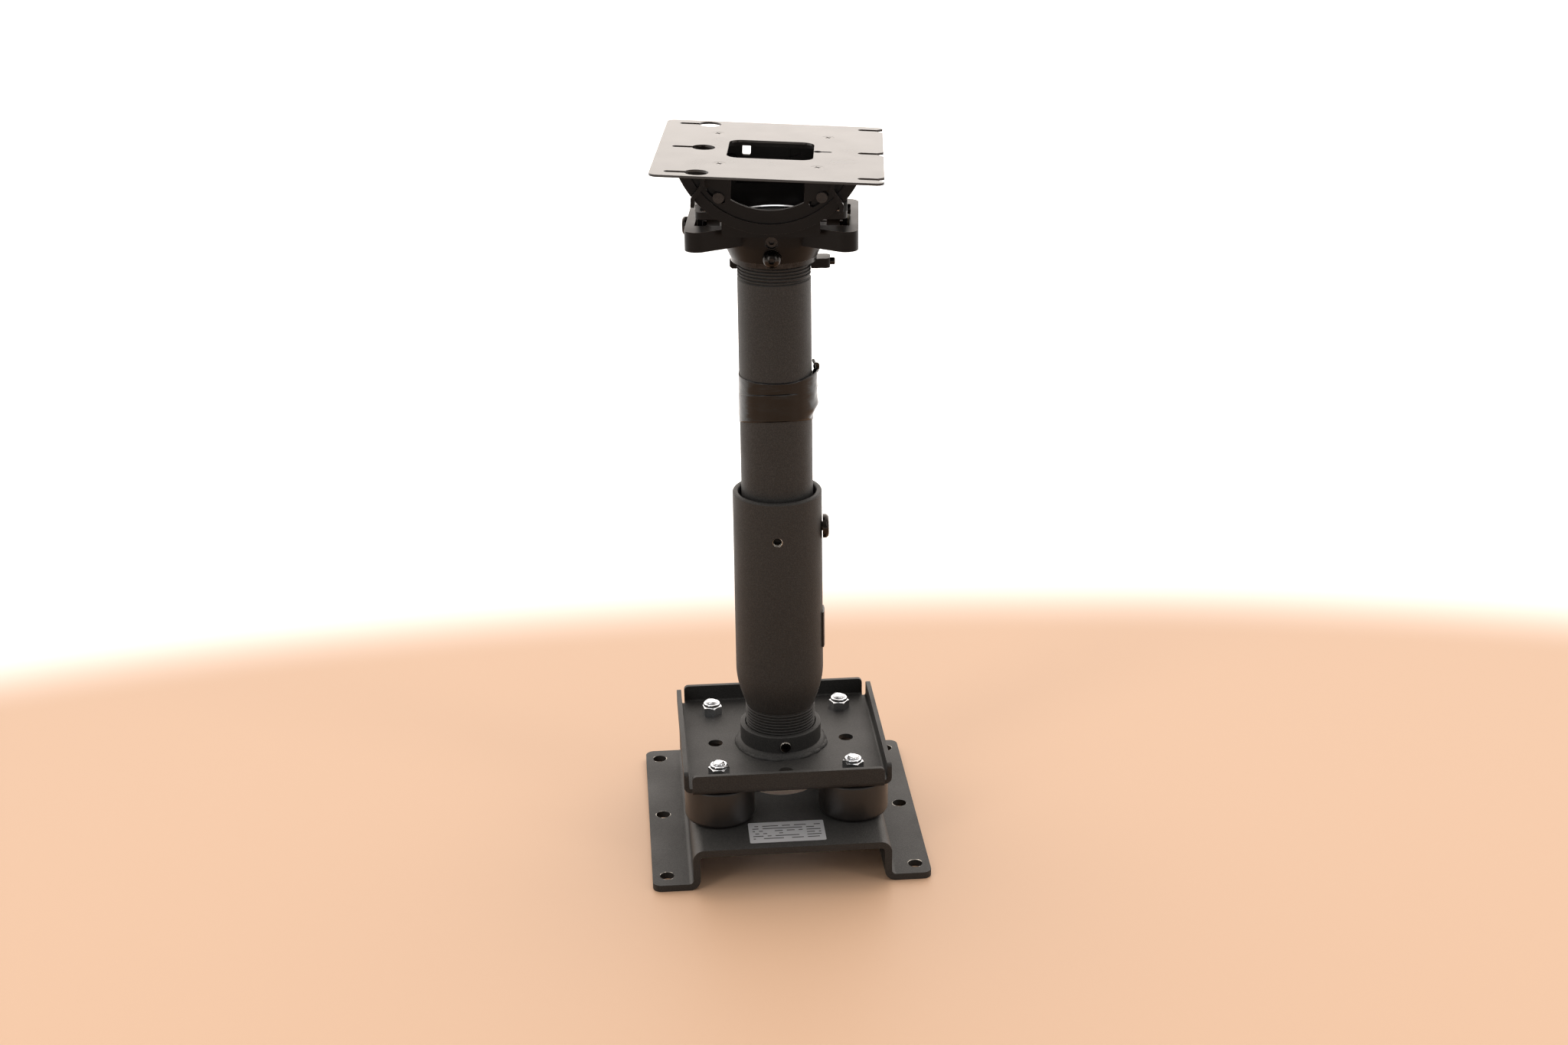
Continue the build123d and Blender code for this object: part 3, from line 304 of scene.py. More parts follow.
def vinyl_tape(name):
    """Glossy black PVC tape with stretch lines and pimples."""
    finish, tree, shader, place = new_finish(name)
    stretched = add(tree, "ShaderNodeMapping", {"Vector": place, "Scale": (1, 1, 9)}).outputs[0]
    lines = add(tree, "ShaderNodeTexNoise",
                {"Vector": stretched, "Scale": 1 / STRETCH_LINE, "Detail": 4.0}).outputs[0]
    pimples = add(tree, "ShaderNodeTexNoise",
                  {"Vector": place, "Scale": 1 / PIMPLE, "Detail": 1.0}).outputs[0]
    both = add(tree, "ShaderNodeMath", {0: pimples, 1: 0.35, 2: lines},
               operation="MULTIPLY_ADD").outputs[0]
    bump = add(tree, "ShaderNodeBump", {"Strength": 0.35, "Distance": 0.25 * MM, "Height": both})
    colour = add(tree, "ShaderNodeMix", {0: lines, 6: linear("#080808"), 7: linear("#131211")},
                 data_type="RGBA").outputs[2]
    fill(tree, shader, {"Base Color": colour, "Roughness": 0.2, "IOR": 1.53,
                        "Specular IOR Level": 0.3, "Normal": bump.outputs[0]})
    return finish


tape_finish = vinyl_tape("glossy_vinyl_tape")
print("tape finish:", tape_finish.name)

# %% [markdown]
# ## The foil label
#
# The rating label on the base is matt silver polyester foil, printed in dark grey. Its lettering
# is left out: each row of text becomes plain bars. The rows come from the fraction of the height
# in each row, the gaps between words from one random number for each cell, and a margin stays
# clear all round. A low, broad bump stands for the foil's waviness.

# %% Foil label with plain printed bars
ROW_HEIGHT, WORD_LENGTH, MARGIN, CREASE = 3.4 * MM, 2.7 * MM, 2.6 * MM, 9 * MM


def foil_label(name, centre, size):
    """Matt silver foil, printed with rows of plain grey bars that stand for lines of text."""
    finish, tree, shader, place = new_finish(name)
    local = add(tree, "ShaderNodeVectorMath", {0: place, 1: centre}, operation="SUBTRACT").outputs[0]
    grid = add(tree, "ShaderNodeVectorMath", {0: local, 1: (1 / WORD_LENGTH, 1 / ROW_HEIGHT, 0)},
               operation="MULTIPLY").outputs[0]
    split = add(tree, "ShaderNodeSeparateXYZ", {0: grid}).outputs
    within = add(tree, "ShaderNodeMath", {0: split["Y"]}, operation="FRACT").outputs[0]
    inked = add(tree, "ShaderNodeMath", {0: within, 1: 0.5, 2: 0.17}, operation="COMPARE").outputs[0]
    cell = add(tree, "ShaderNodeVectorMath", {0: grid}, operation="FLOOR").outputs[0]
    chance = add(tree, "ShaderNodeTexWhiteNoise", {"Vector": cell}).outputs["Value"]
    printed = add(tree, "ShaderNodeMath", {0: chance, 1: 0.34}, operation="GREATER_THAN").outputs[0]
    reach = add(tree, "ShaderNodeVectorMath", {0: local}, operation="ABSOLUTE").outputs[0]
    spread = add(tree, "ShaderNodeSeparateXYZ", {0: reach}).outputs
    margins = [add(tree, "ShaderNodeMath", {0: spread[axis], 1: half - MARGIN},
                   operation="LESS_THAN").outputs[0]
               for axis, half in (("X", size[0] / 2), ("Y", size[1] / 2))]
    ink = inked
    for mask in (printed, *margins):
        ink = add(tree, "ShaderNodeMath", {0: ink, 1: mask}, operation="MULTIPLY").outputs[0]
    creases = add(tree, "ShaderNodeTexNoise",
                  {"Vector": place, "Scale": 1 / CREASE, "Detail": 2.0}).outputs[0]
    bump = add(tree, "ShaderNodeBump", {"Strength": 0.5, "Distance": 0.4 * MM, "Height": creases})
    colour = add(tree, "ShaderNodeMix", {0: ink, 6: linear("#c4c5c8"), 7: linear("#4a4a4c")},
                 data_type="RGBA").outputs[2]
    fill(tree, shader, {"Base Color": colour, "Metallic": 0.45, "Roughness": 0.42,
                        "Normal": bump.outputs[0]})
    return finish


label_low, label_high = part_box("rating_label")
label_finish = foil_label("matt_silver_foil_label", (label_low + label_high) / 2, label_high - label_low)
print("label size", [round(side / MM, 1) for side in label_high - label_low], "mm")

# %% [markdown]
# ## Dressing the parts whose shape is already right
#
# Most of the design's parts are shown as they are, and only need their finish. The finish goes
# on the object's material slots, so the part itself stays untouched.

# %% One finish for each slot of the design
finish_for = {
    "powder_coat": pipe_coat, "head_paint": head_coat, "rubber": isolator_rubber, "zinc": bright_zinc,
    "black_oxide": black_oxide, "label_foil": label_finish, "vinyl_tape": tape_finish,
    "black_plastic": black_plastic, "nylon": nylon,
}
for node, part in frame["nodes"].items():
    if not part.material_slots:
        part.data.materials.append(None)
    for material_slot in part.material_slots:
        material_slot.material = finish_for[slot_of[node]]
print("dressed", len(frame["nodes"]), "parts")

# %% [markdown]
# ## Sheet metal with softened edges
#
# No real edge is perfectly sharp: a sheared and coated sheet has a radius of a few tenths of a
# millimetre, and that tiny curve is what catches a line of light along every rim. The base, tray,
# socket and head parts are therefore copied, their flat faces cleaned of triangle lines, and each
# outer corner rounded with a real bevel. The radius is the most that a corner may get: the bevel
# is held down to what the shortest edge of the part leaves room for, so a part with many small
# curves gets much finer corners. On the head's steel parts the bevel's own faces take a paler and
# glossier finish. This is a painted highlight that stands for the line of light along each rounded
# edge. The copy then stands for the design's part.

# %% A copy with rounded corners
def keep(piece, body, replaced=()):
    """Hand a finished piece to its body and the parts that it stands for."""
    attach(piece, body)
    if replaced:
        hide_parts(*replaced)
    return piece


def shown(name, mesh, *finishes):
    """A new object in the scene with this mesh and these finishes."""
    piece = bpy.data.objects.new(name, mesh)
    scene.collection.objects.link(piece)
    for finish in finishes:
        piece.data.materials.append(finish)
    return piece


def plain_mesh(piece):
    """The piece with its modifiers worked in, as a plain mesh object of the same name."""
    view = bpy.context.evaluated_depsgraph_get()
    mesh = bpy.data.meshes.new_from_object(piece.evaluated_get(view))
    name = piece.name
    bpy.data.objects.remove(piece)
    return shown(name, mesh)


WELD_GAP = 0.001 * MM
FLAT_WITHIN, CORNER_OVER, SHARP_OVER = math.radians(0.4), math.radians(35), math.radians(50)


def softened(node, radius, face_finish, edge_finish):
    """Show a part as a copy whose outer corners are rounded, to this radius at most."""
    source = frame["nodes"][node].data
    mesh = bpy.data.meshes.new(node + "_softened")
    mesh.from_pydata([v.co for v in source.vertices], [], [tuple(p.vertices) for p in source.polygons])
    work = bmesh.new()
    work.from_mesh(mesh)
    bmesh.ops.remove_doubles(work, verts=work.verts, dist=WELD_GAP)
    bmesh.ops.dissolve_limit(work, angle_limit=FLAT_WITHIN, verts=work.verts, edges=work.edges)
    corners = [e for e in work.edges
               if e.is_manifold and e.is_convex and e.calc_face_angle() > CORNER_OVER]
    # The bevel's own faces take the second finish. On the head's parts that finish is the painted edge
    # highlight.
    bmesh.ops.bevel(work, geom=corners, offset=radius, segments=2, profile=0.5, affect="EDGES",
                    clamp_overlap=True, material=1)
    bmesh.ops.triangulate(work, faces=[f for f in work.faces if len(f.verts) > 4])
    for face in work.faces:
        face.smooth = True
    work.to_mesh(mesh)
    open_edges = sum(not e.is_manifold for e in work.edges)
    work.free()
    mesh.set_sharp_from_angle(angle=SHARP_OVER)
    piece = shown(node + "_shell", mesh, face_finish, edge_finish)
    level = piece.modifiers.new("flat_faces_stay_flat", "WEIGHTED_NORMAL")
    level.keep_sharp = True
    piece = plain_mesh(piece)
    print(node, "corners rounded:", len(corners), "open edges:", open_edges)
    return keep(piece, body_of[node], [node])


# On the head's parts the bevel faces get the pale coat, a painted edge highlight.
for node, radius, face_finish, edge_finish in (
    ("base_channel", 0.5 * MM, base_coat, base_coat),
    ("tray_pan", 0.5 * MM, pipe_coat, pipe_coat),
    ("column_socket", 0.4 * MM, pipe_coat, pipe_coat),
    ("head_casting", 1.1 * MM, head_coat, edge_highlight_coat),
    ("pitch_cradle", 0.6 * MM, head_coat, edge_highlight_coat),
    ("roll_bracket", 1.0 * MM, head_coat, edge_highlight_coat),
    ("interface_plate", 0.3 * MM, plate_coat, plate_coat),
    ("jam_ring", 0.4 * MM, head_coat, head_coat),
):
    softened(node, radius, face_finish, edge_finish)

# %% [markdown]
# ## Geometry Nodes for what repeats or follows a path
#
# Threads, nuts, the weld and the tape all follow a rule, so a small tree of nodes makes each one
# from a few named sizes. The two helpers here start such a tree with its inputs, and run it and
# keep the result as a plain mesh, which the design's bodies can carry.

# %% Starting, ending and running a tree
def start_tree(name, sizes):
    """A Geometry Nodes tree with a named input for each size, and the sockets of those inputs."""
    tree = bpy.data.node_groups.new(name, "GeometryNodeTree")
    for label, (kind, value) in sizes.items():
        socket = tree.interface.new_socket(label, in_out="INPUT", socket_type="NodeSocket" + kind)
        socket.default_value = value
    tree.interface.new_socket("Finish", in_out="INPUT", socket_type="NodeSocketMaterial")
    tree.interface.new_socket("Geometry", in_out="OUTPUT", socket_type="NodeSocketGeometry")
    return tree, tree.nodes.new("NodeGroupInput").outputs


def end_tree(tree, given, geometry):
    """Close a tree: real geometry, smooth faces and the finish."""
    real = add(tree, "GeometryNodeRealizeInstances", {"Geometry": geometry}).outputs[0]
    smooth = add(tree, "GeometryNodeSetShadeSmooth", {0: real}).outputs[0]
    painted = add(tree, "GeometryNodeSetMaterial",
                  {"Geometry": smooth, "Material": given["Finish"]}).outputs[0]
    add(tree, "NodeGroupOutput", {"Geometry": painted})


def grow(name, tree, **sizes):
    """Run a tree with these sizes and keep its result as a plain mesh."""
    seed = shown(name, bpy.data.meshes.new(name))
    modifier = seed.modifiers.new("grow", "NODES")
    modifier.node_group = tree
    for socket in tree.interface.items_tree:
        key = socket.name.lower().replace(" ", "_")
        if socket.in_out == "INPUT" and key in sizes:
            modifier[socket.identifier] = sizes[key]
    piece = plain_mesh(seed)
    print(name, "has", len(piece.data.polygons), "faces")
    return piece


print("tree helpers:", [helper.__name__ for helper in (start_tree, end_tree, grow)])

# %% [markdown]
# ### Pipe and stud threads
#
# A thread is a ridge that winds round a cylinder. The tree sweeps a small diamond along a spiral:
# its inner half is buried in the pipe and its outer half is the ridge. The ridge's size fades at
# both ends, as a die leaves it. The same tree copies the ridge to several studs at once.

# %% The thread tree
thread_tree, given = start_tree("thread_ridge", {
    "Radius": ("Float", 20 * MM), "Ridge": ("Float", 1 * MM), "Pitch": ("Float", 2 * MM),
    "Length": ("Float", 10 * MM), "Steps": ("Int", 96), "Spread X": ("Float", 0.0),
    "Spread Y": ("Float", 0.0), "Count": ("Int", 1),
})
tree = thread_tree
turns = add(tree, "ShaderNodeMath", {0: given["Length"], 1: given["Pitch"]}, operation="DIVIDE").outputs[0]
spiral = add(tree, "GeometryNodeCurveSpiral", {
    "Resolution": given["Steps"], "Rotations": turns, "Start Radius": given["Radius"],
    "End Radius": given["Radius"], "Height": given["Length"]}).outputs[0]
upright = add(tree, "GeometryNodeSetCurveNormal", {0: spiral}, mode="Z_UP").outputs[0]
depth = add(tree, "ShaderNodeMath", {0: given["Ridge"], 1: 2.0}, operation="MULTIPLY").outputs[0]
half = add(tree, "ShaderNodeMath", {0: given["Pitch"], 1: 0.45}, operation="MULTIPLY").outputs[0]
diamond = add(tree, "GeometryNodeCurvePrimitiveQuadrilateral", {
    "Width": depth, "Bottom Height": half, "Top Height": half}, mode="KITE").outputs[0]
share = add(tree, "GeometryNodeSplineParameter").outputs["Factor"]
rest = add(tree, "ShaderNodeMath", {0: 1.0, 1: share}, operation="SUBTRACT").outputs[0]
both = add(tree, "ShaderNodeMath", {0: share, 1: rest}, operation="MULTIPLY").outputs[0]
fade = add(tree, "ShaderNodeMath", {0: both, 1: 22.0}, operation="MULTIPLY", use_clamp=True).outputs[0]
ridge = add(tree, "GeometryNodeCurveToMesh", {
    "Curve": upright, "Profile Curve": diamond, "Scale": fade, "Fill Caps": True}).outputs[0]
spots = add(tree, "GeometryNodeMeshGrid", {
    "Size X": given["Spread X"], "Size Y": given["Spread Y"],
    "Vertices X": given["Count"], "Vertices Y": given["Count"]}).outputs["Mesh"]
copies = add(tree, "GeometryNodeInstanceOnPoints", {"Points": spots, "Instance": ridge}).outputs[0]
end_tree(tree, given, copies)
print("the thread tree has", len(thread_tree.nodes), "nodes")

# %% [markdown]
# ### Threads on the column
#
# Pipe of this size has 11.5 threads to the inch. One thread shows where the lower tube screws into
# its socket, and one at the top of the upper tube, just under the jam ring. The lower tube is
# swaged down at its foot, so the crest of both threads is as wide as the upper tube, and the ridge
# stands up from a root cut just under a millimetre deep.

# %% Threads on the column
INCH = 25.4 * MM
PIPE_PITCH = INCH / 11.5          # 1-1/2 inch tapered pipe thread
STUD_PITCH = INCH / 18            # 5/16 inch coarse thread
inner_low, inner_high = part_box("inner_column")
socket_low, socket_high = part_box("column_socket")
jam_low, jam_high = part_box("jam_ring")
crest = (inner_high.x - inner_low.x) / 2
ROOT_DEPTH = 0.93 * MM
FOOT_THREAD = 20 * MM
foot = grow("foot_thread", thread_tree, radius=crest - ROOT_DEPTH, ridge=ROOT_DEPTH, pitch=PIPE_PITCH,
            length=FOOT_THREAD, steps=128, finish=pipe_coat)
FOOT_HIDDEN = 5 * MM              # how much of the thread is inside the socket
foot.data.transform(Matrix.Translation((0, 0, socket_high.z - FOOT_HIDDEN)))
keep(foot, "tray")

TOP_THREAD = 11 * MM
top = grow("top_thread", thread_tree, radius=crest - ROOT_DEPTH, ridge=ROOT_DEPTH, pitch=PIPE_PITCH,
           length=TOP_THREAD, steps=128, finish=pipe_coat)
top.data.transform(Matrix.Translation((0, 0, jam_high.z - TOP_THREAD)))
keep(top, "upper_column")
print("pipe pitch", round(PIPE_PITCH / MM, 2), "mm, crest radius", round(crest / MM, 2), "mm")

# %% [markdown]
# ### Threads in the spare lock hole and on the socket's set screw
#
# The empty lock hole in front is tapped, so bright steel ridges catch the light inside it. The set
# screw in the socket shows a few turns of its thread. Both lie on their side, so the same ridge is
# turned from upright to the way that the hole or the screw faces.

# %% Threads that lie on their side
HOLE_RIDGE, HOLE_PITCH = 0.3 * MM, 1.2 * MM
hole = mounts["spare_lock_hole"]
hole_r, hole_length = hole["dims"]["r_mm"] * MM, hole["dims"]["length_mm"] * MM
hole_thread = grow("spare_hole_thread", thread_tree, radius=hole_r, ridge=HOLE_RIDGE, pitch=HOLE_PITCH,
                   length=hole_length, steps=48, finish=bare_steel)
outward = Vector(hole["axis"])
turn = outward.to_track_quat("Z", "Y").to_matrix().to_4x4()
hole_thread.data.transform(Matrix.Translation(Vector(hole["pos_m"]) - outward * hole_length / 2) @ turn)
keep(hole_thread, "tray")

screw_low, screw_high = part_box("socket_set_screw")
screw_middle = (screw_low + screw_high) / 2
screw_out = Vector((screw_middle.x, screw_middle.y, 0)).normalized()
screw_r = (screw_high.z - screw_low.z) / 2
SCREW_SUNK, SCREW_RIDGE, SCREW_PITCH, SCREW_LENGTH = 0.1 * MM, 0.35 * MM, 1.1 * MM, 3.2 * MM
SCREW_START = 26 * MM             # where the thread starts, from the column's axis
screw_thread = grow("set_screw_thread", thread_tree, radius=screw_r - SCREW_SUNK, ridge=SCREW_RIDGE,
                    pitch=SCREW_PITCH, length=SCREW_LENGTH, steps=40, finish=bare_steel)
turn = screw_out.to_track_quat("Z", "Y").to_matrix().to_4x4()
screw_thread.data.transform(
    Matrix.Translation(Vector((0, 0, screw_middle.z)) + screw_out * SCREW_START) @ turn)
keep(screw_thread, "tray")
print("hole radius", round(hole_r / MM, 2), "mm, screw radius", round(screw_r / MM, 2), "mm")

# %% [markdown]
# ### Threads on the isolators' studs
#
# Each isolator carries a zinc stud of 5/16 inch at each end. The upper studs stand proud of their
# nuts on the tray, and the lower ones end under the deck. Four studs stand at the corners of a
# rectangle, so the tree puts a copy of the ridge on each corner of a two by two grid.

# %% Studs
isolators = ["isolator_front_left", "isolator_front_right", "isolator_rear_left", "isolator_rear_right"]
centres = [(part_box(name)[0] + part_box(name)[1]) / 2 for name in isolators]
spread_x = centres[1].x - centres[0].x
spread_y = centres[2].y - centres[0].y
STUD_R, STUD_RIDGE = 3.97 * MM, 0.14 * MM
stud_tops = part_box("isolator_upper_studs")[1].z
stud_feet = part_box("isolator_lower_studs")[0].z
nut_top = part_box("tray_lock_nuts")[1].z
for name, body, low, length in (
    ("upper_stud_threads", "tray", nut_top - 1.6 * MM, stud_tops - nut_top + 0.9 * MM),
    ("lower_stud_threads", "base", stud_feet, 2.2 * MM),
):
    threads = grow(name, thread_tree, radius=STUD_R, ridge=STUD_RIDGE, pitch=STUD_PITCH, length=length,
                   steps=40, spread_x=spread_x, spread_y=spread_y, count=2, finish=bright_zinc)
    threads.data.transform(Matrix.Translation((0, 0, low)))
    keep(threads, body)
print("studs stand", round(spread_x / MM, 1), "by", round(spread_y / MM, 1), "mm apart")

# %% [markdown]
# ### Lock nuts
#
# A lock nut is a hexagon whose top corners a lathe has cut back at 30 degrees, with a rolled
# collar above it. The tree cuts the hexagon with a wide cone, which leaves the curved corners that
# every real nut has, adds the rounded collar, and puts one nut on each of the four studs. Each nut
# is turned by its own random angle, as they stop where the spanner leaves them.

# %% The lock nut tree
nut_tree, given = start_tree("lock_nut", {
    "Across Flats": ("Float", 12.7 * MM), "Hexagon Height": ("Float", 6.6 * MM),
    "Collar Height": ("Float", 2 * MM), "Bore Radius": ("Float", 4 * MM), "Spread X": ("Float", 0.1),
    "Spread Y": ("Float", 0.1), "Seed": ("Int", 3),
})
tree = nut_tree
corner_r = add(tree, "ShaderNodeMath", {0: given["Across Flats"], 1: math.sqrt(3)},
               operation="DIVIDE").outputs[0]
half_height = add(tree, "ShaderNodeMath", {0: given["Hexagon Height"], 1: 0.5},
                  operation="MULTIPLY").outputs[0]
hexagon = add(tree, "GeometryNodeMeshCylinder", {
    "Vertices": 6, "Radius": corner_r, "Depth": given["Hexagon Height"]}).outputs["Mesh"]
lift = add(tree, "ShaderNodeCombineXYZ", {"Z": half_height}).outputs[0]
seated = add(tree, "GeometryNodeTransform", {"Geometry": hexagon, "Translation": lift}).outputs[0]
face_r = add(tree, "ShaderNodeMath", {0: given["Across Flats"], 1: 0.475}, operation="MULTIPLY").outputs[0]
slope = add(tree, "ShaderNodeMath", {0: given["Hexagon Height"], 1: math.sqrt(3), 2: face_r},
            operation="MULTIPLY_ADD").outputs[0]
cutter = add(tree, "GeometryNodeMeshCone", {
    "Vertices": 72, "Radius Top": face_r, "Radius Bottom": slope,
    "Depth": given["Hexagon Height"]}).outputs["Mesh"]
cut = add(tree, "GeometryNodeMeshBoolean", {1: seated}, operation="INTERSECT", solver="EXACT")
tree.links.new(cutter, cut.inputs[1])
collar_mid = add(tree, "ShaderNodeMath", {0: given["Bore Radius"], 1: face_r},
                 operation="ADD").outputs[0]
collar_r = add(tree, "ShaderNodeMath", {0: collar_mid, 1: 0.5}, operation="MULTIPLY").outputs[0]
gap = add(tree, "ShaderNodeMath", {0: face_r, 1: given["Bore Radius"]}, operation="SUBTRACT").outputs[0]
wall = add(tree, "ShaderNodeMath", {0: gap, 1: 0.94}, operation="MULTIPLY").outputs[0]
tall = add(tree, "ShaderNodeMath", {0: given["Collar Height"], 1: 2.0},
           operation="MULTIPLY").outputs[0]
section = add(tree, "GeometryNodeCurvePrimitiveQuadrilateral",
              {"Width": wall, "Height": tall}).outputs[0]
round_r = add(tree, "ShaderNodeMath", {0: wall, 1: 0.45}, operation="MULTIPLY").outputs[0]
rounded = add(tree, "GeometryNodeFilletCurve", {
    "Curve": section, "Count": 5, "Radius": round_r, "Limit Radius": True}, mode="POLY").outputs[0]
hoop = add(tree, "GeometryNodeCurvePrimitiveCircle", {"Resolution": 64, "Radius": collar_r}).outputs[0]
hoop_up = add(tree, "GeometryNodeSetCurveNormal", {0: hoop}, mode="Z_UP").outputs[0]
ring = add(tree, "GeometryNodeCurveToMesh", {"Curve": hoop_up, "Profile Curve": rounded}).outputs[0]
level = add(tree, "ShaderNodeCombineXYZ", {"Z": given["Hexagon Height"]}).outputs[0]
collar = add(tree, "GeometryNodeTransform", {"Geometry": ring, "Translation": level}).outputs[0]
nut = add(tree, "GeometryNodeJoinGeometry", {0: cut.outputs["Mesh"]})
tree.links.new(collar, nut.inputs[0])
spots = add(tree, "GeometryNodeMeshGrid", {
    "Size X": given["Spread X"], "Size Y": given["Spread Y"],
    "Vertices X": 2, "Vertices Y": 2}).outputs["Mesh"]
angle = add(tree, "FunctionNodeRandomValue",
            {2: 0.0, 3: math.radians(60), "Seed": given["Seed"]}).outputs[1]
spin = add(tree, "ShaderNodeCombineXYZ", {"Z": angle}).outputs[0]
nuts = add(tree, "GeometryNodeInstanceOnPoints", {
    "Points": spots, "Instance": nut.outputs[0], "Rotation": spin}).outputs[0]
end_tree(tree, given, nuts)
print("the nut tree has", len(nut_tree.nodes), "nodes")

# %% [markdown]
# ### Nuts on the tray, and under the deck
#
# Four nuts sit on the tray with their collars up, and four more hang under the deck, upside down.
# The tree makes both fours, and the second one is turned half round before it is put in place.
# The flats stay crisp: every corner sharper than 25 degrees is marked as a hard edge.

# %% Nuts on the tray, and under the deck
NUT_SHARP = math.radians(25)
for node, seed, over in (("tray_lock_nuts", 3, 0.0), ("deck_lock_nuts", 8, math.pi)):
    low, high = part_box(node)
    nuts = grow(node + "_cut", nut_tree, spread_x=spread_x, spread_y=spread_y, seed=seed,
                bore_radius=STUD_R, finish=bright_zinc)
    seat = high.z if over else low.z
    nuts.data.transform(Matrix.Translation((0, 0, seat)) @ Matrix.Rotation(over, 4, "X"))
    nuts.data.set_sharp_from_angle(angle=NUT_SHARP)
    keep(nuts, body_of[node], [node])

# %% [markdown]
# ### The weld round the socket
#
# The socket is welded to the tray by hand. A hand-run bead swells and thins, wanders a little and
# carries small ripples where each drop of metal froze. The tree sweeps a circle round the socket,
# and noise changes both the bead's thickness and its path. The powder coat covers it afterwards.

# %% The weld tree
WELD_DRIFT = 16 * MM      # how far the hand goes between one wander and the next
weld_tree, given = start_tree("hand_run_weld", {
    "Ring Radius": ("Float", 30 * MM), "Bead Radius": ("Float", 2.6 * MM), "Wander": ("Float", 2 * MM),
    "Ripples": ("Int", 90), "Seed": ("Float", 4.0),
})
tree = weld_tree
hoop = add(tree, "GeometryNodeCurvePrimitiveCircle",
           {"Resolution": 360, "Radius": given["Ring Radius"]}).outputs[0]
spot = add(tree, "GeometryNodeInputPosition").outputs[0]
drift = add(tree, "ShaderNodeTexNoise",
            {"Vector": spot, "W": given["Seed"], "Scale": 1 / WELD_DRIFT, "Detail": 2.0},
            noise_dimensions="4D")
centred = add(tree, "ShaderNodeVectorMath", {0: drift.outputs["Color"], 1: (0.5, 0.5, 0.5)},
              operation="SUBTRACT").outputs[0]
shift = add(tree, "ShaderNodeVectorMath", {0: centred, "Scale": given["Wander"]},
            operation="SCALE").outputs[0]
wavy = add(tree, "GeometryNodeSetPosition", {"Geometry": hoop, "Offset": shift}).outputs[0]
share = add(tree, "GeometryNodeSplineParameter").outputs["Factor"]
round_angle = add(tree, "ShaderNodeMath", {0: share, 1: given["Ripples"]},
                  operation="MULTIPLY").outputs[0]
phase = add(tree, "ShaderNodeMath", {0: round_angle, 1: math.tau}, operation="MULTIPLY").outputs[0]
wave = add(tree, "ShaderNodeMath", {0: phase}, operation="SINE").outputs[0]
ripple = add(tree, "ShaderNodeMath", {0: wave, 1: 0.012, 2: drift.outputs["Fac"]},
             operation="MULTIPLY_ADD").outputs[0]
swell = add(tree, "ShaderNodeMapRange", {"Value": ripple, "From Min": 0.25, "From Max": 0.75,
                                         "To Min": 0.6, "To Max": 1.35}).outputs[0]
drop = add(tree, "GeometryNodeCurvePrimitiveCircle",
           {"Resolution": 20, "Radius": given["Bead Radius"]}).outputs[0]
bead = add(tree, "GeometryNodeCurveToMesh",
           {"Curve": wavy, "Profile Curve": drop, "Scale": swell}).outputs[0]
end_tree(tree, given, bead)

tray_floor = socket_low.z
SOCKET_R = 28.15 * MM
WELD_STANDOFF, WELD_BEAD, WELD_WANDER, WELD_FLATNESS = 1.4 * MM, 2.9 * MM, 5.5 * MM, 0.75
weld = grow("socket_weld", weld_tree, ring_radius=SOCKET_R + WELD_STANDOFF, bead_radius=WELD_BEAD,
            wander=WELD_WANDER, finish=pipe_coat)
weld.data.transform(Matrix.Translation((0, 0, tray_floor)) @ Matrix.Diagonal((1, 1, WELD_FLATNESS, 1)))
keep(weld, "tray")

# %% [markdown]
# ### The vinyl tape
#
# The tape goes round the pipe a little over twice. The first turn lies level. The second slants
# down towards the sides and back, so its lower edge leaves the level one, and its upper edge shows
# as a step in front. The tree walks along the tape from start to end, works out the angle, radius
# and height of each point, and sweeps the tape's flat section along that path. Noise adds creases.

# %% The tape tree
tape_tree, given = start_tree("wound_tape", {
    "Pipe Radius": ("Float", 24 * MM), "Tape Width": ("Float", 19 * MM),
    "Thickness": ("Float", 0.13 * MM), "Turns": ("Float", 2.0), "Start Angle": ("Float", 0.0),
    "Level Middle": ("Float", 0.32), "Slant Middle": ("Float", 0.31),
    "Front Rise": ("Float", 6 * MM), "Crease": ("Float", 0.3 * MM),
})
tree = tape_tree
PATH_POINTS = 420
FOLD = 14 * MM            # from one crease to the next
path = add(tree, "GeometryNodeMeshLine", {"Count": PATH_POINTS}).outputs[0]
index = add(tree, "GeometryNodeInputIndex").outputs[0]
share = add(tree, "ShaderNodeMath", {0: index, 1: PATH_POINTS - 1.0}, operation="DIVIDE").outputs[0]
wound = add(tree, "ShaderNodeMath", {0: share, 1: given["Turns"]}, operation="MULTIPLY").outputs[0]
angle = add(tree, "ShaderNodeMath", {0: wound, 1: math.tau, 2: given["Start Angle"]},
            operation="MULTIPLY_ADD").outputs[0]
cosine = add(tree, "ShaderNodeMath", {0: angle}, operation="COSINE").outputs[0]
sine = add(tree, "ShaderNodeMath", {0: angle}, operation="SINE").outputs[0]
layers = add(tree, "ShaderNodeMath", {0: wound, 1: 0.7}, operation="ADD").outputs[0]
reach = add(tree, "ShaderNodeMath", {0: layers, 1: given["Thickness"], 2: given["Pipe Radius"]},
            operation="MULTIPLY_ADD").outputs[0]
towards_front = add(tree, "ShaderNodeMath", {0: sine, 1: -1.0}, operation="MULTIPLY",
                    use_clamp=True).outputs[0]
slanted = add(tree, "ShaderNodeMath", {0: towards_front, 1: given["Front Rise"], 2: given["Slant Middle"]},
              operation="MULTIPLY_ADD").outputs[0]
blend = add(tree, "ShaderNodeMapRange", {"Value": wound, "From Min": 1.02, "From Max": 1.45},
            interpolation_type="SMOOTHSTEP").outputs[0]
height = add(tree, "ShaderNodeMix", {0: blend, 2: given["Level Middle"], 3: slanted}).outputs[0]
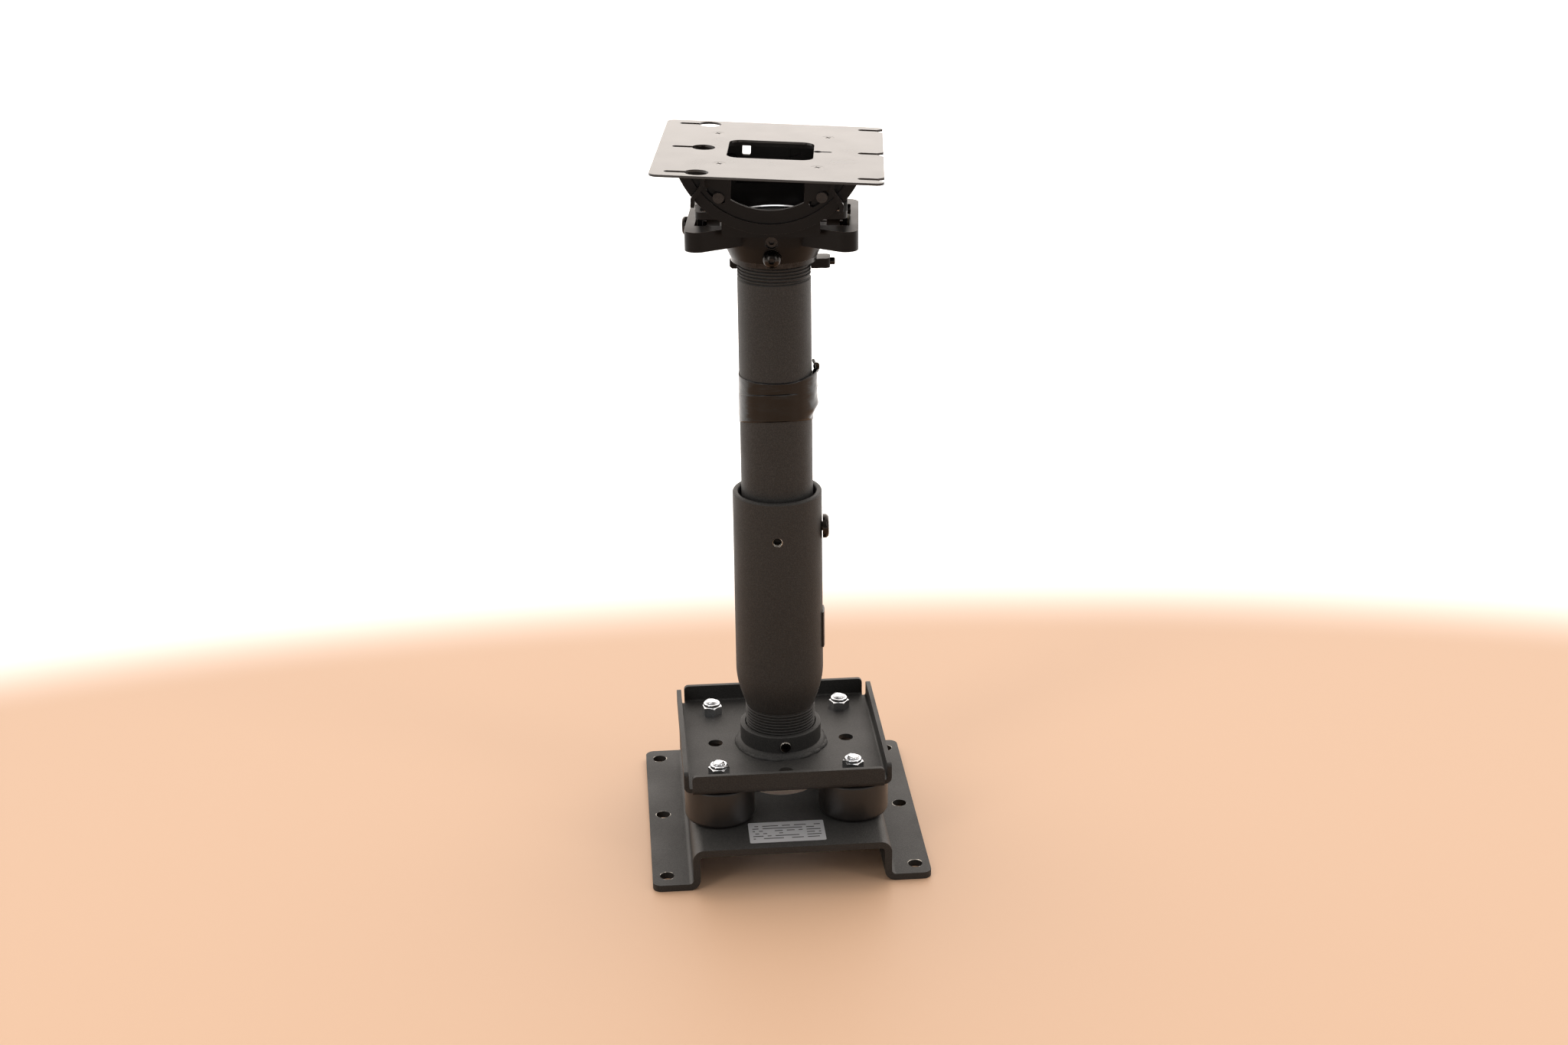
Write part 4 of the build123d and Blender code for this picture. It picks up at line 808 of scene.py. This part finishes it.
across = add(tree, "ShaderNodeMath", {0: cosine, 1: reach}, operation="MULTIPLY").outputs[0]
along = add(tree, "ShaderNodeMath", {0: sine, 1: reach}, operation="MULTIPLY").outputs[0]
point = add(tree, "ShaderNodeCombineXYZ", {"X": across, "Y": along, "Z": height}).outputs[0]
placed = add(tree, "GeometryNodeSetPosition", {"Geometry": path, "Position": point}).outputs[0]
line = add(tree, "GeometryNodeMeshToCurve", {0: placed}).outputs[0]
upright = add(tree, "GeometryNodeSetCurveNormal", {0: line}, mode="Z_UP").outputs[0]
section = add(tree, "GeometryNodeCurvePrimitiveQuadrilateral", {
    "Width": given["Thickness"], "Height": given["Tape Width"]}).outputs[0]
divided = add(tree, "GeometryNodeResampleCurve", {0: section, "Count": 44}).outputs[0]
strip = add(tree, "GeometryNodeCurveToMesh",
            {"Curve": upright, "Profile Curve": divided, "Fill Caps": True}).outputs[0]
spot = add(tree, "GeometryNodeInputPosition").outputs[0]
stretched = add(tree, "ShaderNodeVectorMath", {0: spot, 1: (1, 1, 2.2)}, operation="MULTIPLY").outputs[0]
folds = add(tree, "ShaderNodeTexNoise",
            {"Vector": stretched, "Scale": 1 / FOLD, "Detail": 2.0}).outputs["Fac"]
outward_push = add(tree, "ShaderNodeMath", {0: folds, 1: given["Crease"]},
                   operation="MULTIPLY").outputs[0]
flat = add(tree, "ShaderNodeVectorMath", {0: spot, 1: (1, 1, 0)}, operation="MULTIPLY").outputs[0]
radial = add(tree, "ShaderNodeVectorMath", {0: flat}, operation="NORMALIZE").outputs[0]
push = add(tree, "ShaderNodeVectorMath", {0: radial, "Scale": outward_push},
           operation="SCALE").outputs[0]
creased = add(tree, "GeometryNodeSetPosition", {"Geometry": strip, "Offset": push}).outputs[0]
end_tree(tree, given, creased)

tape_low, tape_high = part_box("tape_wrap")
TAPE_WIDTH, TAPE_THICK = 19 * MM, 0.13 * MM
TAPE_TURNS, TAPE_START = 2.02, math.radians(4)
TAPE_SLANT, TAPE_CREASE, TAPE_GAP = 6.5 * MM, 0.4 * MM, 0.05 * MM
tape = grow("wound_vinyl_tape", tape_tree, pipe_radius=crest + TAPE_GAP, tape_width=TAPE_WIDTH,
            thickness=TAPE_THICK, turns=TAPE_TURNS, start_angle=TAPE_START,
            level_middle=tape_high.z - TAPE_WIDTH / 2, slant_middle=tape_low.z + TAPE_WIDTH / 2,
            front_rise=TAPE_SLANT, crease=TAPE_CREASE, finish=tape_finish)
keep(tape, "upper_column", ["tape_wrap"])
print("tape reaches", round(max(v.co.x for v in tape.data.vertices) / MM, 2), "mm from the axis")

# %% [markdown]
# ### The tape's loose end
#
# The last few centimetres have let go on the right. A sheet is laid over the pipe's side, lifted
# more and more towards its free edge, wrinkled with noise, and given a thickness. It is drawn
# 0.22 mm thick, more than the tape's own 0.13 mm.

# %% The lifted flap
def grid_mesh(name, columns, rows, place):
    """A sheet of columns by rows whose points come from place(u, v), with u and v from 0 to 1."""
    points = [place(i / columns, j / rows) for j in range(rows + 1) for i in range(columns + 1)]
    faces = [(j * (columns + 1) + i, j * (columns + 1) + i + 1, (j + 1) * (columns + 1) + i + 1,
              (j + 1) * (columns + 1) + i) for j in range(rows) for i in range(columns)]
    mesh = bpy.data.meshes.new(name)
    mesh.from_pydata(points, [], faces)
    mesh.shade_smooth()
    return mesh


def ease(share):
    """A smooth step from 0 to 1."""
    share = min(max(share, 0.0), 1.0)
    return share * share * (3 - 2 * share)


FLAP_START, FLAP_END = math.radians(-72), math.radians(13)
FLAP_LIFT = 3.6 * MM
FLAP_SHORT = 0.55     # how much of the slant the flap's lower edge keeps all along


def flap_point(u, v):
    """A point of the loose end: u runs along the tape, v up its width."""
    angle = FLAP_START + (FLAP_END - FLAP_START) * u
    bottom = tape_low.z + TAPE_SLANT * max(-math.sin(angle), FLAP_SHORT) + 0.6 * MM
    top = tape_high.z - 0.5 * MM + 1.1 * MM * ease(u / 0.4) + 1.6 * MM * u * u
    height = bottom + (top - bottom) * v
    wrinkle = (noise.noise(Vector((u * 3.1, v * 4.2, 7.3)))
               + 0.5 * noise.noise(Vector((u * 7.5, v * 9.0, 2.1))))
    free = ease((u - 0.25) / 0.75)
    lift = FLAP_LIFT * free * ease(v / 0.22) * (1 - 0.16 * math.sin(math.pi * v) ** 2)
    radius = crest + 0.25 * MM + 0.6 * MM * ease(u / 0.3) + lift + 0.75 * MM * wrinkle * free
    return Vector((radius * math.cos(angle), radius * math.sin(angle), height))


LOOSE_END_THICK = 0.22 * MM
FLAP_COLUMNS, FLAP_ROWS = 56, 40
flap = shown("loose_tape_end", grid_mesh("loose_tape_end", FLAP_COLUMNS, FLAP_ROWS, flap_point),
             tape_finish)
thick = flap.modifiers.new("tape_thickness", "SOLIDIFY")
thick.thickness = LOOSE_END_THICK
thick.offset = 0
flap = plain_mesh(flap)
keep(flap, "upper_column")
print("loose end has", len(flap.data.polygons), "faces")

# %% [markdown]
# ### The rolled shred
#
# Above the loose end a torn shred of tape has rolled itself into a small loop. It is a ribbon
# swept along a short curve laid through ten listed knots, with a slight twist at each of them. A
# curve with an extrusion and a small bevel makes such a ribbon without a separate section.

# %% The rolled shred above the loose end
SHRED_HALF_WIDTH, SHRED_HALF_THICK, SHRED_TWIST = 1.5 * MM, 0.22 * MM, 0.5
shred_route = [
    (crest + 0.9 * MM, 1.5, 327.5), (crest + 2.6 * MM, 1.2, 330.5), (crest + 3.9 * MM, 0.6, 333.4),
    (crest + 3.3 * MM, 0.2, 335.8), (crest + 1.8 * MM, -0.3, 335.2), (crest + 1.9 * MM, -0.5, 333.0),
    (crest + 3.1 * MM, -0.9, 332.9), (crest + 2.3 * MM, -0.6, 336.2), (crest + 1.0 * MM, -0.2, 337.9),
    (crest + 1.2 * MM, 0.3, 339.2),
]
curve = bpy.data.curves.new("rolled_shred", "CURVE")
curve.dimensions = "3D"
spline = curve.splines.new("NURBS")
spline.points.add(len(shred_route) - 1)
for knot, (x, y, z) in zip(spline.points, shred_route):
    knot.co = (x, y * MM, z * MM, 1)
    knot.tilt = SHRED_TWIST * math.sin(z)
spline.order_u = 4
spline.use_endpoint_u = True
spline.resolution_u = 10
curve.extrude = SHRED_HALF_WIDTH
curve.bevel_depth = SHRED_HALF_THICK
curve.bevel_resolution = 1
curve.use_fill_caps = True
shred = bpy.data.objects.new("rolled_shred", curve)
scene.collection.objects.link(shred)
shred = plain_mesh(shred)
shred.data.materials.append(tape_finish)
shred.data.shade_smooth()
keep(shred, "upper_column")
print("shred has", len(shred.data.polygons), "faces over", len(shred_route), "knots")

# %% [markdown]
# ## Rubber isolators
#
# Each isolator is a moulded rubber cylinder between two bonded plates, with a generous radius at
# its foot and a small one at its top. A lathe-like function turns that outline into a closed
# solid. The rubber joins the base to the tray. The solid is left where it stands and is not
# given to either body.

# %% Turned outlines
def turned(name, outline, centre, finish, steps=96):
    """A closed solid of revolution about a vertical axis, from outline points (radius, height)."""
    work = bmesh.new()
    rings = []
    for radius, height in outline:
        count = 1 if radius == 0 else steps
        rings.append([work.verts.new((centre.x + radius * math.cos(math.tau * i / steps),
                                      centre.y + radius * math.sin(math.tau * i / steps), height))
                      for i in range(count)])
    for lower, upper in zip(rings, rings[1:]):
        for i in range(steps):
            k = (i + 1) % steps
            corners = [lower[i % len(lower)], lower[k % len(lower)],
                       upper[k % len(upper)], upper[i % len(upper)]]
            work.faces.new(list(dict.fromkeys(corners)))
    for face in work.faces:
        face.smooth = True
    mesh = bpy.data.meshes.new(name)
    work.to_mesh(mesh)
    work.free()
    mesh.set_sharp_from_angle(angle=math.radians(40))
    return shown(name, mesh, finish)


def isolator_outline(radius, low, high):
    """Half outline of an isolator: a rounded foot, straight sides, a rounded top."""
    foot_round, top_round = 3.4 * MM, 1.2 * MM
    points = [(0, low), (radius - foot_round, low)]
    for i in range(1, 8):
        a = math.pi / 2 * i / 7
        points.append((radius - foot_round + foot_round * math.sin(a),
                       low + foot_round * (1 - math.cos(a))))
    for i in range(5):
        a = math.pi / 2 * i / 4
        points.append((radius - top_round + top_round * math.cos(a),
                       high - top_round * (1 - math.sin(a))))
    return points + [(0, high)]


RUBBER_INSET = 0.1 * MM
for node, centre in zip(isolators, centres):
    low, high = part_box(node)
    radius = (high.x - low.x) / 2 - RUBBER_INSET
    rubber = turned(node + "_rubber", isolator_outline(radius, low.z, high.z), centre, isolator_rubber)
    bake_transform(rubber)
    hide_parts(node)
print("isolators turned:", len(isolators))

# %% [markdown]
# ## The floor
#
# The object stands on a plain pale floor, satin enough to take a faint reflection. Near the object
# the floor is a warm tan, and an ellipse further out fades it to glowing white, so that the floor
# meets the white room behind without a hard line.

# %% A plain pale floor
FLOOR_CENTRE = (0, 0.75, 0)             # moves the ellipse's middle 0.75 m towards the camera
FLOOR_REACH = (1 / 1.7, 1 / 1.17, 0)    # its half width and half depth are 1.7 m and 1.17 m
floor_finish, tree, shader, place = new_finish("plain_pale_floor")
centred = add(tree, "ShaderNodeVectorMath", {0: place, 1: FLOOR_CENTRE}, operation="ADD").outputs[0]
scaled = add(tree, "ShaderNodeVectorMath", {0: centred, 1: FLOOR_REACH}, operation="MULTIPLY").outputs[0]
away = add(tree, "ShaderNodeVectorMath", {0: scaled}, operation="LENGTH").outputs["Value"]
far = add(tree, "ShaderNodeMapRange", {"Value": away, "From Min": 0.9, "From Max": 1.1},
          interpolation_type="SMOOTHSTEP").outputs[0]
tone = add(tree, "ShaderNodeMix", {0: far, 6: linear("#c3a083"), 7: linear("#ffffff")},
           data_type="RGBA").outputs[2]
glow = add(tree, "ShaderNodeMath", {0: far, 1: 0.6}, operation="MULTIPLY").outputs[0]
fill(tree, shader, {"Base Color": tone, "Roughness": 0.55, "Emission Color": linear("#ffffff"),
                    "Emission Strength": glow})
FLOOR_HALF = 12.0
floor_mesh = bpy.data.meshes.new("floor")
floor_mesh.from_pydata([(x, y, 0) for x, y in ((-FLOOR_HALF, -FLOOR_HALF), (FLOOR_HALF, -FLOOR_HALF),
                                               (FLOOR_HALF, FLOOR_HALF), (-FLOOR_HALF, FLOOR_HALF))],
                       [], [(0, 1, 2, 3)])
floor = shown("floor", floor_mesh, floor_finish)
print("the floor is", 2 * FLOOR_HALF, "m square")

# %% [markdown]
# ## Light
#
# A black object shows little but its reflections, so the light is mostly large and soft: a bright
# surround behind, a softer one in front, a little more overhead, two tall softboxes that put a
# highlight on each side of every round part, and a wide one above.

# %% Soft studio light
world = bpy.data.worlds.new("white_room")
scene.world = world
world.use_nodes = True
tree = world.node_tree
direction = add(tree, "ShaderNodeTexCoord").outputs["Generated"]
split = add(tree, "ShaderNodeSeparateXYZ", {0: direction}).outputs
sideways = add(tree, "ShaderNodeMath", {0: split["X"], 1: 0.08, 2: split["Y"]},
               operation="MULTIPLY_ADD").outputs[0]
behind = add(tree, "ShaderNodeMapRange", {"Value": sideways, "From Min": -0.2, "From Max": 0.85,
                                          "To Min": 0.3, "To Max": 2.8},
             interpolation_type="SMOOTHSTEP").outputs[0]
overhead = add(tree, "ShaderNodeMapRange", {"Value": split["Z"], "From Min": 0.45, "From Max": 1.0,
                                            "To Min": 0.0, "To Max": 0.4},
               interpolation_type="SMOOTHSTEP").outputs[0]
light = add(tree, "ShaderNodeMath", {0: behind, 1: overhead}, operation="ADD").outputs[0]
fill(tree, tree.nodes["Background"], {"Color": linear("#fff6ee"), "Strength": light})


def softbox(name, place, aim, width, height, power):
    """A rectangular studio light that faces a point."""
    lamp = bpy.data.lights.new(name, "AREA")
    lamp.shape = "RECTANGLE"
    lamp.size, lamp.size_y = width, height
    lamp.energy = power
    light = bpy.data.objects.new(name, lamp)
    light.location = place
    light.rotation_mode = "QUATERNION"
    light.rotation_quaternion = (Vector(aim) - Vector(place)).to_track_quat("-Z", "Y")
    scene.collection.objects.link(light)


MIDDLE = (0, 0, 0.25)
softbox("softbox_left", (-1.5, -1.3, 1.3), MIDDLE, 0.5, 1.4, 11)
softbox("softbox_right", (1.6, -1.1, 1.2), MIDDLE, 0.5, 1.4, 7)
softbox("softbox_top", (0.0, -0.2, 2.2), MIDDLE, 1.2, 1.2, 6)

# %% [markdown]
# ## The camera
#
# The camera stands about a metre and a half in front, a little to the left and well above the
# plate, and looks down at the middle of the column. A lens of 54 mm keeps the tubes nearly
# parallel. The view is tilted by less than a degree, as if held by hand, so the camera's own
# right and up directions are worked out first and then turned a little about the line of sight.

# %% The camera
EYE = Vector((-104.87, -1467.03, 806.41)) * MM
AIM = Vector((4.35, 0, 223.9)) * MM
LENS, SENSOR = 53.57, 36.0
CAMERA_ROLL = math.radians(-0.77)
lens = bpy.data.cameras.new("camera")
lens.lens, lens.sensor_width = LENS, SENSOR
lens.clip_start, lens.clip_end = 0.05, 50
camera = bpy.data.objects.new("camera", lens)
scene.collection.objects.link(camera)
scene.camera = camera
look = (AIM - EYE).normalized()
right = look.cross(Vector((0, 0, 1))).normalized()
up = right.cross(look)
turned_right = right * math.cos(CAMERA_ROLL) + up * math.sin(CAMERA_ROLL)
turned_up = up * math.cos(CAMERA_ROLL) - right * math.sin(CAMERA_ROLL)
camera.matrix_world = Matrix.Translation(EYE) @ Matrix((turned_right, turned_up, -look)).transposed().to_4x4()
scene.view_settings.view_transform = "Standard"
print("the camera is", round((AIM - EYE).length, 2), "m from the middle of the column")
